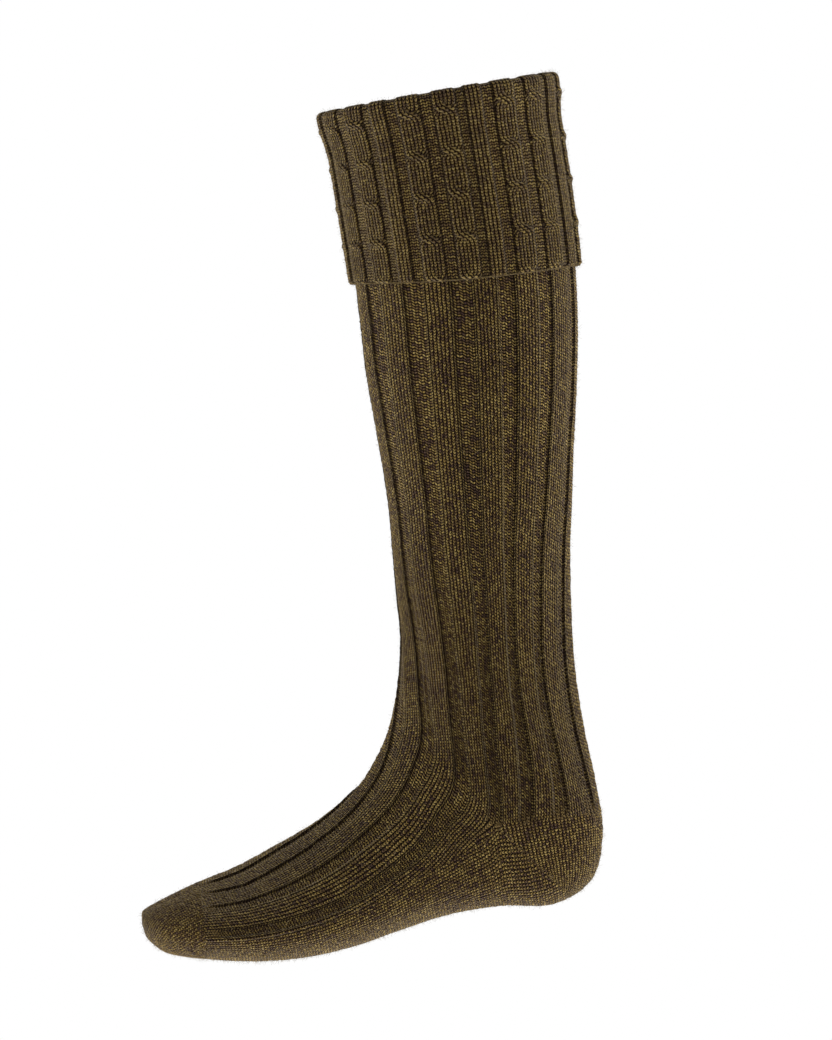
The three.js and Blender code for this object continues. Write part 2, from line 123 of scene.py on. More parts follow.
# Painted light on the knit: over 0 is painted shade, darker towards creases, under 0 a painted highlight,
# lighter as on a stitch that stands proud
BACK_PURL_PAINTED_SHADE = 0.36
INSTEP_PURL_PAINTED_HIGHLIGHT = -0.35
CUFF_PURL_PAINTED_HIGHLIGHT = -0.45
CUFF_RIB_PAINTED_HIGHLIGHT = -0.5
CROSSING_PAINTED_HIGHLIGHT = -0.2
CROSSING_SHADOW = (1.12, 0.16)  # place and width of the dark line beside a crossing strand, in strands
INNER_SIDE = 2.0  # the kind of stitch that marks the sides that don't show

# The first wale numbers of the parts, far enough apart for the materials to tell them by
SOLE_MAP, HEEL_MAP, TOE_MAP, TOE_SOLE_MAP, CUFF_MAP = 2000, 3000, 4000, 4400, 5000
CUFF_PURL_STEP, CUFF_RIB_MAP, CABLE_MAP, CABLE_STEP, TOP_STRAND_STEP = 8, 40, 60, 20, 7
SEAM_JUMP = 50
# From these wale numbers on, how much softer the lines between the wales become: sole, heel, toe, the
# cuff's ribs and the cuff's cables
SOFTER_FROM = ((1500.0, 0.26), (2900.0, -0.08), (3900.0, 0.24), (4900.0, -0.42), (5055.0, 0.13))

# Where the heel meets leg and foot in the side view, as shares of the foot's length and the ankle's height
HEEL_CORNER = (0.769, 0.295)
HEEL_TOP = (1.0, 0.274)
HEEL_BOTTOM = (0.912, 0.026)
ANKLE_BEND = (0.610, 0.705)

# The lines of closed stitches, in the side view: the heel's gore and the toe's gore
HEEL_GORE = ((208.5, 53.9), (216.0, 44.5), (226.0, 31.0), (236.0, 17.5), (242.5, 8.5))
TOE_GORE = ((7.0, 24.0), (18.0, 20.0), (30.0, 16.2), (42.0, 13.0), (54.0, 10.0))
GORE_STITCH = 2.3
HEM_STITCH = 1.9
STITCH_SLANT = 0.35

# Metres: how far the materials raise their stitches, and the sizes of what grows on the knit
RIB_BUMP, PLAIN_BUMP, CABLE_BUMP = 0.00055, 0.0004, 0.0007
GORE_STITCH_SIZES = {"Length": 0.0026, "Thickness": 0.0007, "Uneven": 0.2, "Seed": 3}
HEM_STITCH_SIZES = {"Length": 0.0023, "Thickness": 0.0011, "Uneven": 0.15, "Seed": 4}
FIBRES_PER_MM2 = 0.21
FIBRE_SIZES = {"Density": FIBRES_PER_MM2 * 1e6, "Length": 0.0024, "Width": 0.00006, "Tilt": 1.35, "Seed": 5}
FIBRE_SCALES = (0.45, 1.3)
FIBRE_BEND = 1.1
FIBRE_ROOT = 0.42  # how far up its own length a fibre's middle stands

# How far down the side the instep's grooves lie on the foot, in ribs, at rows along the foot: the lowest
# groove runs close to the sole and the rib under it is only a few wales wide.
FOOT_SHIFT_ROWS = (0, 4.2, 5.1, 6.0, 7.0, 8.0, 9.0, 10.0, 11.5)
FOOT_SHIFTS = (
    (-0.5, (0.55, 0.6, 0.6, 0.3, 0.1, 0.05, 0, 0, 0)),
    (0.5, (0.5, 0.5, 0.7, 0.4, 0.1, 0.05, 0.02, 0, 0)),
    (1.5, (0.5, 0.55, 0.55, 0.45, 0.25, 0.12, 0.1, 0.05, 0)),
    (2.28, (0.7, 0.7, 0.7, 0.69, 0.64, 0.54, 0.4, 0.15, 0)),
    (2.72, (0.7, 0.7, 0.7, 0.69, 0.64, 0.54, 0.4, 0.15, 0)),
)
FOOT_END_ROWS = (11.2, 10.2)
LOW_RIB = 6
LOW_GROOVE = 0.9
NARROW_WALE = 1.9

# The form's rows: a plane cut through a point on the upper outline and one on the lower outline, with
# the half width, the widest point's place, the roundness above and below it, the top's lean inwards, the
# place of the line between instep and sole, and the ribs from it to the top and to the bottom.
FOOT_ROWS = np.array([
    [0.0015, 0.205, 0.0015, 0.163, 0.06, 0.50, 2.0, 2.0, 0.03, 0.72, 4.40, 3.5],
    [0.0075, 0.222, 0.0075, 0.133, 0.16, 0.52, 1.9, 2.1, 0.04, 0.72, 4.40, 3.5],
    [0.037, 0.238, 0.037, 0.089, 0.29, 0.56, 1.8, 2.2, 0.06, 0.74, 4.40, 3.5],
    [0.075, 0.255, 0.075, 0.066, 0.375, 0.60, 1.7, 2.3, 0.07, 0.75, 4.40, 3.5],
    [0.127, 0.275, 0.127, 0.045, 0.44, 0.65, 1.6, 2.4, 0.09, 0.76, 4.40, 3.5],
    [0.216, 0.302, 0.224, 0.015, 0.49, 0.70, 1.55, 2.5, 0.10, 0.76, 4.42, 3.5],
    [0.306, 0.344, 0.328, 0.001, 0.50, 0.71, 1.5, 2.5, 0.11, 0.755, 4.45, 3.5],
    [0.396, 0.391, 0.433, 0.008, 0.46, 0.71, 1.5, 2.5, 0.11, 0.75, 4.35, 3.5],
    [0.470, 0.448, 0.534, 0.031, 0.415, 0.70, 1.55, 2.5, 0.10, 0.74, 4.15, 3.5],
    [0.534, 0.525, 0.642, 0.052, 0.385, 0.68, 1.6, 2.5, 0.08, 0.72, 3.90, 3.5],
    [0.578, 0.608, 0.754, 0.051, 0.37, 0.64, 1.7, 2.4, 0.06, 0.68, 3.60, 3.5],
    [0.608, 0.700, 0.866, 0.029, 0.36, 0.59, 1.8, 2.4, 0.04, 0.62, 3.35, 3.5],
    [0.625, 0.774, 0.955, 0.082, 0.355, 0.52, 1.9, 2.4, 0.03, 0.49, 3.20, 3.6],
    [0.636, 0.837, 0.994, 0.211, 0.345, 0.45, 1.9, 2.3, 0.03, 0.44, 3.15, 3.7],
    [0.644, 0.895, 0.9985, 0.358, 0.335, 0.40, 2.0, 2.1, 0.03, 0.445, 3.15, 3.8],
    [0.648, 0.947, 0.9945, 0.516, 0.33, 0.38, 2.0, 1.9, 0.03, 0.46, 3.15, 3.85],
    [0.650, 1.000, 0.996, 0.684, 0.335, 0.38, 2.0, 1.8, 0.03, 0.48, 3.15, 3.85],
])
# height, dip, shift, depth, half, then the same columns as the foot's from the widest point's place on
LEG_ROWS = np.array([
    [-0.110, 0.211, 0.07, 0.746, 0.31, 0.40, 2.0, 1.8, 0.03, 0.485, 3.12, 3.85],
    [0.036, 0.105, 0.22, 0.780, 0.35, 0.44, 2.0, 1.85, 0.03, 0.475, 3.10, 3.8],
    [0.146, 0.053, 0.38, 0.816, 0.385, 0.47, 2.0, 1.9, 0.03, 0.465, 3.08, 3.75],
    [0.234, 0.032, 0.49, 0.850, 0.413, 0.49, 2.0, 1.95, 0.03, 0.464, 3.06, 3.72],
    [0.358, 0.011, 0.64, 0.911, 0.445, 0.51, 2.0, 2.0, 0.03, 0.467, 3.05, 3.7],
    [0.474, 0.0, 0.765, 0.962, 0.468, 0.52, 2.0, 2.0, 0.03, 0.474, 3.05, 3.7],
    [0.584, 0.0, 0.886, 0.983, 0.482, 0.52, 2.0, 2.0, 0.03, 0.479, 3.05, 3.7],
    [0.693, 0.0, 0.96, 0.992, 0.490, 0.52, 2.0, 2.0, 0.03, 0.48, 3.05, 3.7],
    [0.876, 0.0, 1.0, 1.0, 0.496, 0.51, 2.0, 2.0, 0.03, 0.48, 3.05, 3.7],
    [1.0, 0.0, 1.0, 1.0, 0.5, 0.51, 2.0, 2.0, 0.03, 0.48, 3.05, 3.7],
])
TOP_X, TOP_Z, LOW_X, LOW_Z, HALF, WIDE, TOP_ROUND, LOW_ROUND, LEAN, LINE, FRONT, BACK = range(12)


def form_table():
    foot = FOOT_ROWS.copy()
    foot[:, [TOP_X, LOW_X]] *= FOOT_LENGTH
    foot[:, [TOP_Z, LOW_Z]] *= ANKLE_HEIGHT
    foot[:, [HALF, LEAN]] *= FOOT_WIDTH
    leg = LEG_ROWS.copy()
    height, dip, shift, depth = LEG_ROWS[:, :4].T
    middle = (foot[-1, TOP_X] + foot[-1, LOW_X]) / 2 + shift * CALF_LEAN
    leg[:, TOP_X] = middle - depth * CALF_DEPTH / 2
    leg[:, LOW_X] = middle + depth * CALF_DEPTH / 2
    leg[:, LOW_Z] = ANKLE_HEIGHT + height * (LEG_TOP - ANKLE_HEIGHT)
    leg[:, TOP_Z] = leg[:, LOW_Z] + dip * ANKLE_HEIGHT
    leg[:, [HALF, LEAN]] *= CALF_WIDTH
    return np.vstack([foot, leg])


TABLE = form_table()
LAST_ROW = len(TABLE) - 1


def upright(share):
    return np.array([share[0] * FOOT_LENGTH, share[1] * ANKLE_HEIGHT])


def rows_at(places):
    """Smooth rows at places along the table."""
    u = np.atleast_1d(np.asarray(places, float))
    i = np.clip(np.floor(u).astype(int), 0, LAST_ROW - 1)
    t = (u - i)[:, None]
    a, b, c, d = (TABLE[np.clip(i + k, 0, LAST_ROW)] for k in (-1, 0, 1, 2))
    slope_b, slope_c = (c - a) / 2, (d - b) / 2
    jump = b - c
    return b + t * (slope_b + t * (-3 * jump - 2 * slope_b - slope_c + t * (2 * jump + slope_b + slope_c)))


def inset(rows, distance):
    along = rows[:, [LOW_X, LOW_Z]] - rows[:, [TOP_X, TOP_Z]]
    along *= distance / np.linalg.norm(along, axis=1, keepdims=True)
    moved = rows.copy()
    moved[:, [TOP_X, TOP_Z]] += along
    moved[:, [LOW_X, LOW_Z]] -= along
    moved[:, HALF] -= distance
    return moved


def run_along(path):
    """How far along a path, or along each of several, its points lie."""
    steps = np.linalg.norm(np.diff(path, axis=-2), axis=-1)
    return np.concatenate([np.zeros(steps.shape[:-1] + (1,)), np.cumsum(steps, axis=-1)], axis=-1)


def side_curves(rows, side, samples=241):
    """One side of each row as points, with how far down and along it each lies."""
    angle = np.linspace(0, math.pi, samples)[None, :]
    cos, sin = np.abs(np.cos(angle)), np.abs(np.sin(angle))
    upper = angle <= math.pi / 2
    r = rows[:, :, None]
    power = 2 / np.where(upper, r[:, TOP_ROUND], r[:, LOW_ROUND])
    wide = r[:, WIDE]
    down = np.where(upper, wide * (1 - cos**power), wide + (1 - wide) * cos**power)
    lean = np.where(upper, r[:, LEAN] * (1 - sin**power), 0)
    points = np.stack([
        r[:, TOP_X] + (r[:, LOW_X] - r[:, TOP_X]) * down,
        side * r[:, HALF] * sin**power + lean,
        r[:, TOP_Z] + (r[:, LOW_Z] - r[:, TOP_Z]) * down,
    ], axis=-1)
    return points, down, run_along(points)


def all_round(count):
    """Rib numbers spaced evenly all round."""
    return np.linspace(-HEEL_LINE, 3 * HEEL_LINE, count + 1)[:-1]


def section_points(rows, q):
    """Points of each row at rib numbers q, and the length of a rib there."""
    q = np.broadcast_to(q, (len(rows), q.shape[-1]))
    found, pitch = np.zeros(q.shape + (3,)), np.zeros(q.shape)
    outer, inner = side_curves(rows, -1), side_curves(rows, 1)
    for i, row in enumerate(rows):
        top, bottom = HEEL_LINE - row[FRONT], HEEL_LINE + row[BACK]
        x = np.where(q[i] < -HEEL_LINE, q[i] + RIB_COUNT, q[i])
        for (points, down, run), front, back, above, below, past_line in (
            (outer, row[FRONT], row[BACK], (x >= top) & (x <= HEEL_LINE),
             (x > HEEL_LINE) & (x <= bottom), x - HEEL_LINE),
            (inner, 2 * HEEL_LINE - row[FRONT], 2 * HEEL_LINE - row[BACK], x < top,
             x > bottom, 3 * HEEL_LINE - x),
        ):
            line = np.interp(row[LINE], down[i], run[i])
            rest = run[i, -1] - line
            for mask, along, rib in ((above, line * np.abs(x - top) / front, line / front),
                                     (below, line + rest * past_line / back, rest / back)):
                for axis in range(3):
                    found[i, mask, axis] = np.interp(along[mask], run[i], points[i, :, axis])
                pitch[i, mask] = rib
    return found, pitch


def heel_seat():
    row = inset(TABLE[HEEL_SEAT_ROW:HEEL_SEAT_ROW + 1], WALL)[0]
    return np.array([row[LOW_X], 0.0, row[LOW_Z]])


HEEL_SEAT = heel_seat()


def to_frame(points):
    return (points - HEEL_SEAT) * MM


def smooth(low, high, value):
    t = np.clip((value - low) / (high - low), 0, 1)
    return t * t * (3 - 2 * t)


def hem_height(x):
    """How far down the cuff's outside reaches at a place along X."""
    t = np.clip((x - TABLE[-1, TOP_X]) / (TABLE[-1, LOW_X] - TABLE[-1, TOP_X]), 0, 1)
    return FOLD_TOP - (CUFF_FRONT + (CUFF_BACK - CUFF_FRONT) * (1 - (1 - t) ** HEM_BEND))


def row_places(spacing, hidden_spacing):
    """Places along the table so that the rows lie a spacing apart, wider where the cuff hides them."""
    u = np.linspace(0, LAST_ROW, LAST_ROW * 24 + 1)
    points, _ = section_points(rows_at(u), all_round(2 * RIB_COUNT))
    steps = np.linalg.norm(np.diff(points, axis=0), axis=2).mean(axis=1)
    hidden = smooth(-4, 4, rows_at(u[1:])[:, LOW_Z] - (FOLD_TOP - CUFF_FRONT + HIDDEN_ABOVE_HEM))
    density = steps / (spacing + (hidden_spacing - spacing) * hidden)
    count = np.concatenate([[0], np.cumsum(density)])
    return np.interp(np.linspace(0, count[-1], int(round(count[-1])) + 1), count, u)


def column_layout():
    """The tube's columns for one rib, from the middle of the groove before it: (part, wale)."""
    right = [("purl", w) for w in np.arange(0, HALF_PURL + 0.01, 0.5)]
    knit = [("knit", w) for w in np.arange(0, RIB_WALES + 0.01, 0.5)]
    left = [("purl", w) for w in np.arange(-HALF_PURL, -0.01, 0.5)]
    return right + knit + left


LAYOUT = column_layout()
COLUMNS = len(LAYOUT) * RIB_COUNT


def foot_shift(number, places):
    knots = [-HEEL_LINE] + [g for g, _ in FOOT_SHIFTS] + [HEEL_LINE]
    shifts = [np.interp(places, FOOT_SHIFT_ROWS, row) for _, row in FOOT_SHIFTS]
    shifts = np.array([np.zeros(len(places)), *shifts, np.zeros(len(places))]).T
    return np.array([np.interp(n, knots, shift, right=0) for n, shift in zip(number, shifts)])


def column_places(rows, places):
    """Rib numbers and wale numbers of the columns in each row."""
    on_foot = smooth(*FOOT_END_ROWS, places)
    _, pitch = section_points(rows, np.minimum(np.arange(RIB_COUNT + 1) - HEEL_LINE, 3 * HEEL_LINE - 1e-6))
    half = GROOVE_WIDTH / pitch * (pitch / WIDEST_PITCH) ** GROOVE_CLOSING
    half = np.clip(half, *GROOVE_SHARE) / 2
    half[:, LOW_RIB] *= 1 + (LOW_GROOVE - 1) * on_foot
    q, wale, purl = [], [], []
    for k in range(RIB_COUNT):
        start, end = half[:, k], 1 - half[:, k + 1]
        for part, w in LAYOUT:
            if part == "knit":
                local = start + (end - start) * w / RIB_WALES
                number = HALF_PURL + w
            elif w >= 0:
                local = half[:, k] * GROOVE_FLOOR * w / HALF_PURL
                number = w * GROOVE_FLOOR
            else:
                local = 1 + half[:, k + 1] * GROOVE_FLOOR * w / HALF_PURL
                number = WALES_PER_RIB + w * GROOVE_FLOOR
            q.append(k - HEEL_LINE + local)
            wale.append(np.full(len(rows), k * WALES_PER_RIB + number))
            purl.append(part == "purl")
    number, wale = np.array(q).T, np.array(wale).T
    q = number + foot_shift(number, places)
    # the rib beside the sole is narrower, so its wales are counted by their width
    first = LOW_RIB * len(LAYOUT) + [part for part, _ in LAYOUT].index("knit")
    last = (LOW_RIB + 1) * len(LAYOUT)
    even = (q[:, first:last + 1] - q[:, first, None]) * pitch[:, LOW_RIB, None] / NARROW_WALE
    even = wale[:, first, None] + even
    wale[:, first:last] += (even[:, :-1] - wale[:, first:last]) * on_foot[:, None]
    low_edge = wale[:, last] + (even[:, -1] - wale[:, last]) * on_foot
    return q, number, wale, low_edge, np.array(purl)


def on_one_side(q):
    """Rib numbers counted down the outer side only, the same for the inner side."""
    return np.where(q > SOLE_MIDDLE, RIB_COUNT - q, q)


def groove_share(q, points):
    """How deep the grooves are: none on the toe, the sole and the heel."""
    x, z = points[..., 0], points[..., 2]
    side = smooth(HEEL_LINE - 0.28, HEEL_LINE - 0.18, np.abs(on_one_side(q)))
    below = smooth(-1, 1, distance_behind_corner(points))
    instep = smooth(TOE_LENGTH + 3, TOE_LENGTH + 14, x) * (1 - side * (1 - below))
    back = smooth(52, 60, z)
    in_front = (q < HEEL_LINE + 0.3) | (q > 3 * HEEL_LINE - 0.3)
    return np.where(in_front, np.minimum(instep, np.maximum(back, 1 - side)), back)


def distance_behind_corner(points):
    """How far behind the line from the heel's corner up to the ankle's bend, negative in front."""
    corner, bend = upright(HEEL_CORNER), upright(ANKLE_BEND)
    along = (bend - corner) / np.linalg.norm(bend - corner)
    return (points[..., 0] - corner[0]) * along[1] - (points[..., 2] - corner[1]) * along[0]


def outward_normals(points):
    """Normals of a grid closed round its columns, turned away from the middle of its rings."""
    along = np.gradient(points, axis=0)
    around = (np.roll(points, -1, axis=1) - np.roll(points, 1, axis=1)) / 2
    normal = np.cross(around, along)
    normal /= np.maximum(np.linalg.norm(normal, axis=2, keepdims=True), 1e-9)
    out = ((points - points.mean(axis=1, keepdims=True)) * normal).sum() > 0
    return normal if out else -normal


def ring_quads(rows, columns, closed=False):
    """A grid's quads, closed round its columns, and the row and column of each one's first corner."""
    i, j = np.meshgrid(np.arange(rows if closed else rows - 1), np.arange(columns), indexing="ij")
    below, beside = (i + 1) % rows, (j + 1) % columns
    faces = [i * columns + j, below * columns + j, below * columns + beside, i * columns + beside]
    return np.stack(faces, axis=-1).reshape(-1, 4), i, j


def end_fan(hub, columns):
    """Triangles that close a grid's first ring to the point hub."""
    ring = np.arange(columns)
    return np.stack([np.full(columns, hub), ring, (ring + 1) % columns], axis=-1)


# A skin of faces with its wale and course numbers and its kind of stitch at every corner
Knit = namedtuple("Knit", "points normals faces knit kind")


def sole_wales(q, points):
    """Wale numbers on the sole, counted from its middle, level with the sole in the side view."""
    corner_x, slice_width = upright(HEEL_CORNER)[0], 3.0
    slices = np.arange(4.0, upright(HEEL_BOTTOM)[0] + 14, slice_width)
    columns = np.linspace(HEEL_LINE, SOLE_MIDDLE, 57)
    near = np.clip(on_one_side(q), HEEL_LINE, SOLE_MIDDLE)
    c = (near - columns[0]) / (columns[1] - columns[0])
    s = np.clip((points[..., 0] - slices[0]) / slice_width, 0, len(slices) - 1.001)
    c0, s0 = np.clip(np.floor(c).astype(int), 0, len(columns) - 2), np.floor(s).astype(int)
    fc, fs = c - c0, s - s0
    rows = rows_at(np.linspace(0, 15, 361))
    wale = np.zeros(q.shape)
    for sign in (1, -1):
        line, _ = section_points(rows, columns if sign > 0 else RIB_COUNT - columns)
        cut = np.full((len(slices), len(columns), 2), np.nan)
        for k in range(len(columns)):
            reach = int(np.argmax(line[:, k, 0])) + 1
            xs = np.maximum.accumulate(line[:reach, k, 0])
            ok = slices <= xs[-1]
            for axis in (1, 2):
                cut[ok, k, axis - 1] = np.interp(slices[ok], xs, line[:reach, k, axis])
        run = run_along(cut[:, ::-1])[:, ::-1]
        whole = run[:, 0].copy()
        known = ~np.isnan(whole)
        whole[(slices > corner_x) | ~known] = np.interp(corner_x, slices[known], whole[known])
        table = run / whole[:, None]
        for row in table:
            good = ~np.isnan(row)
            if not good.all():
                row[:] = np.interp(columns, columns[good], row[good]) if good.any() else 0
        value = (table[s0, c0] * (1 - fs) * (1 - fc) + table[s0 + 1, c0] * fs * (1 - fc)
                 + table[s0, c0 + 1] * (1 - fs) * fc + table[s0 + 1, c0 + 1] * fs * fc)
        wale = np.where((q > SOLE_MIDDLE) != (sign > 0), sign * value * SOLE_WALES, wale)
    return wale


def toe_wales(rows, q, points):
    """Wale numbers on the toe: from the top's middle above the gore, from the sole's middle below it."""
    run = run_along(np.concatenate([points, points[:, :1]], axis=1))
    found = []
    for r, row in enumerate(rows):
        around, girth = run[r, :-1], run[r, -1]
        middles = np.interp((HEEL_LINE - row[FRONT], HEEL_LINE + row[BACK]), q[r], around)
        found.append([(around - m + girth / 2) % girth - girth / 2 for m in middles])
    top, bottom = np.array(found)[:, 0], np.array(found)[:, 1]
    gore = np.interp(points[..., 0], *zip(*TOE_GORE))
    return np.where(points[..., 2] > gore, TOE_MAP + top / TOE_WALE, TOE_SOLE_MAP + bottom / TOE_WALE)


def heel_wales(points):
    """Wale numbers on the heel, upright in the side view, and its courses down from the leg."""
    line, _ = section_points(rows_at(np.linspace(12, 17, 241)), np.linspace(HEEL_LINE, 3 * HEEL_LINE, 141))
    level = upright(HEEL_TOP)[1]
    ring = np.array([[np.interp(level, column[:, 2], column[:, axis]) for axis in (0, 1)]
                     for column in np.swapaxes(line, 0, 1)])
    turn = np.arctan2(ring[:, 1], ring[:, 0] - HEEL_AXIS_X)
    order = np.argsort(turn)
    run = run_along(ring)
    run = run - np.interp(0, turn[order], run[order])
    at = np.arctan2(points[..., 1], points[..., 0] - HEEL_AXIS_X)
    wale = np.interp(at, turn[order], run[order]) / HEEL_WALE
    drop = np.clip((level - points[..., 2]) / level, -0.2, 1.2)
    course = -(drop * level * (1 + HEEL_CROWDING * np.clip(drop, 0, 1) ** 2)) / COURSE
    return HEEL_MAP + wale, course


def tube_courses(rows, points):
    """Courses: halfway between each wale's own length and the mean, level at the ankle's front."""
    steps = np.linalg.norm(np.diff(points, axis=0), axis=2)
    steps = 0.5 * steps + 0.5 * steps.mean(axis=1, keepdims=True)
    course = np.concatenate([np.zeros((1, COLUMNS)), np.cumsum(steps, axis=0)]) / COURSE
    return course - course[int(np.argmin(np.abs(rows[:, TOP_Z] - ANKLE_HEIGHT * 0.8)))]


def wale_ridges(faces, wales, count):
    """A wave of one ridge to a wale, as the mean of the faces round each of the points."""
    ridge, weight = np.zeros(count), np.zeros(count)
    for c in range(4):
        np.add.at(ridge, faces[:, c], -np.cos(2 * math.pi * wales[:, c]))
        np.add.at(weight, faces[:, c], 1)
    return ridge / np.maximum(weight, 1)


def tube_kinds(points, share, faces, column, purl):
    """How much purl and how much painted shade or painted highlight each face's corners have, and none on the
    plain parts.
    """
    kind = np.zeros((len(faces), 4, 2))
    first, second = purl[column], purl[(column + 1) % COLUMNS]
    purl_face, wall_face = first & second, first ^ second
    depth = share.reshape(-1)[faces]
    kind[first | second, :, 0] = depth[first | second]
    behind = smooth(-2, 6, distance_behind_corner(points))
    # painted shade in the back's purl grooves below the ankle, a painted highlight in the instep's
    shade = BACK_PURL_PAINTED_SHADE * smooth(190, 100, points[..., 2]) * behind + INSTEP_PURL_PAINTED_HIGHLIGHT * (1 - behind)
    kind[purl_face, :, 1] = (depth * shade.reshape(-1)[faces])[purl_face]
    # painted shade on the walls between purl and knit
    kind[wall_face, :, 1] = depth[wall_face]
    # a painted highlight on the outer wales of each rib
    outer_wales = (0, 0.5, RIB_WALES - 1, RIB_WALES - 0.5)
    edge = np.array([part == "knit" and w in outer_wales for part, w in LAYOUT] * RIB_COUNT)
    edge_face = edge[column] & ~wall_face
    kind[edge_face, :, 1] = -depth[edge_face]
    return kind


def tube_skin():
    """The knitted tube's outside from the toe's tip to the leg's upper edge, with its stitches."""
    places = row_places(ROW, HIDDEN_ROW)
    rows = rows_at(places)
    q, number, wale, low_edge, purl = column_places(rows, places)
    points, pitch = section_points(rows, q)
    course = tube_courses(rows, points)
    faces, _, j = ring_quads(len(rows), COLUMNS)
    faces, column = faces[:, [0, 3, 2, 1]], j.ravel()
    toe_map = np.stack([toe_wales(rows, q, points), course], axis=-1)
    sole_map = np.stack([sole_wales(q, points) + SOLE_MAP, points[..., 0] / COURSE], axis=-1)
    heel_map = np.stack(heel_wales(points), axis=-1)
    knit = np.stack([wale, course], axis=-1).reshape(-1, 2)[faces]
    knit[column == COLUMNS - 1, 1:3, 0] += RIB_COUNT * WALES_PER_RIB
    beside_sole = column == (LOW_RIB + 1) * len(LAYOUT) - 1
    knit[beside_sole, 1, 0], knit[beside_sole, 2, 0] = low_edge[:-1], low_edge[1:]
    zone = zone_of(points.reshape(-1, 3)[faces].mean(axis=1))
    first_q = q.reshape(-1)[faces[:, 0]]
    on_sole = (zone == FOOT) & (first_q >= HEEL_LINE - 1e-4) & (first_q < 3 * HEEL_LINE)
    for mask, other in ((zone == TOE, toe_map), (on_sole, sole_map), (zone == HEEL, heel_map)):
        knit[mask] = other.reshape(-1, 2)[faces[mask]]
    # where a face's corners count their wales from two middles, the first corner's number is kept
    apart = np.abs(knit[..., 0] - knit[:, :1, 0]) > SEAM_JUMP
    knit[apart, 0] = np.broadcast_to(knit[:, :1, 0], apart.shape)[apart]

    share = groove_share(number, points)
    ridge = wale_ridges(faces, knit[..., 0], q.size).reshape(q.shape)
    floor = purl[None, :] * share
    spread = np.clip(pitch / WALES_PER_RIB / FULL_RELIEF_WALE, 0.3, 1)
    relief = WALE_RELIEF * 0.5 * ridge * (1 - floor) * spread - GROOVE_DEPTH * floor
    spacing = np.linalg.norm(np.roll(points, -1, axis=1) - points, axis=2)
    uneven = np.random.default_rng(7).standard_normal(relief.shape)
    relief += UNEVENNESS * np.clip(spacing / UNEVEN_COLUMN, 0, 1) * uneven
    relief *= 1 - smooth(-2, 6, points[..., 2] - (hem_height(points[..., 0]) + SMOOTH_ABOVE_HEM))
    relief[0] = 0
    skin = points + outward_normals(points) * relief[..., None]

    tip = skin[0].mean(axis=0) + np.array([-TIP_ROUNDING, 0, 0])
    tip_knit = toe_map[0].mean(axis=0)[None].repeat(COLUMNS, 0)
    return Knit(
        np.vstack([skin.reshape(-1, 3), tip]),
        np.vstack([outward_normals(skin).reshape(-1, 3), [-1, 0, 0]]),
        [faces, end_fan(q.size, COLUMNS)[:, [0, 2, 1]]],
        [knit, np.stack([tip_knit, np.roll(toe_map[0], -1, axis=0), toe_map[0]], axis=1)],
        [tube_kinds(points, share, faces, column, purl), np.zeros((COLUMNS, 3, 2))],
    )


LEG, HEEL, FOOT, TOE = range(4)


def zone_of(points):
    """Which of leg, heel, foot and toe each point is on."""
    corner = upright(HEEL_CORNER)
    x, z = points[:, 0], points[:, 2]
    angle = np.arctan2(z - corner[1], x - corner[0])
    front, back, down = (math.atan2(*(upright(p) - corner)[::-1])
                         for p in (ANKLE_BEND, HEEL_TOP, HEEL_BOTTOM))
    zone = np.full(len(points), FOOT)
    zone[(angle > back) & (angle < front)] = LEG
    zone[(angle > down) & (angle <= back)] = HEEL
    zone[(zone == FOOT) & (x < TOE_LENGTH + z * math.tan(TOE_TILT))] = TOE
    return zone


def lining_skin():
    """The tube's inside, with its faces towards the foot."""
    places = row_places(INNER_ROW, INNER_ROW)
    rows = inset(rows_at(places[places >= 1.0]), WALL)
    points, _ = section_points(rows, all_round(INNER_COLUMNS))
    points[0, :, 0] += WALL / 2
    faces, i, j = ring_quads(len(rows), INNER_COLUMNS)
    steps = np.linalg.norm(np.diff(points, axis=0), axis=2).mean(axis=1)
    course = np.concatenate([[0], np.cumsum(steps)]) / COURSE
    wale = np.linspace(0, RIB_COUNT * WALES_PER_RIB, INNER_COLUMNS + 1)
    corners = ((j, i), (j, i + 1), (j + 1, i + 1), (j + 1, i))
    knit = np.stack([np.stack([wale[w], course[c]], -1) for w, c in corners], axis=2).reshape(-1, 4, 2)
    fan = end_fan(len(rows) * INNER_COLUMNS, INNER_COLUMNS)
    kinds = [np.zeros((len(faces), 4, 2)), np.zeros((INNER_COLUMNS, 3, 2))]
    for kind in kinds:
        kind[..., 0] = INNER_SIDE
    return Knit(
        np.vstack([points.reshape(-1, 3), points[0].mean(axis=0)]),
        np.vstack([-outward_normals(points).reshape(-1, 3), [1, 0, 0]]),
        [faces, fan], [knit, np.zeros((INNER_COLUMNS, 3, 2))], kinds,
    )


def bmesh_of(skin):
    """The skin as a bmesh in millimetres, with its stitches as two UV maps and its normals as a layer."""
    mesh = bpy.data.meshes.new("skin")
    faces = [f for block in skin.faces for f in block.tolist()]
    mesh.from_pydata(skin.points.tolist(), [], faces)
    for name, blocks in (("knit", skin.knit), ("kind", skin.kind)):
        layer = mesh.uv_layers.new(name=name)
        flat = np.concatenate([b.reshape(-1, 2) for b in blocks]).astype(np.float32)
        layer.data.foreach_set("uv", flat.ravel())
    shade = mesh.attributes.new("shade", "FLOAT_VECTOR", "POINT")
    shade.data.foreach_set("vector", skin.normals.astype(np.float32).ravel())
    bm = bmesh.new()
    bm.from_mesh(mesh)
    bpy.data.meshes.remove(mesh)
    return bm


BORDER_REACH = 6  # how far past the heel's corner the cuts look for faces


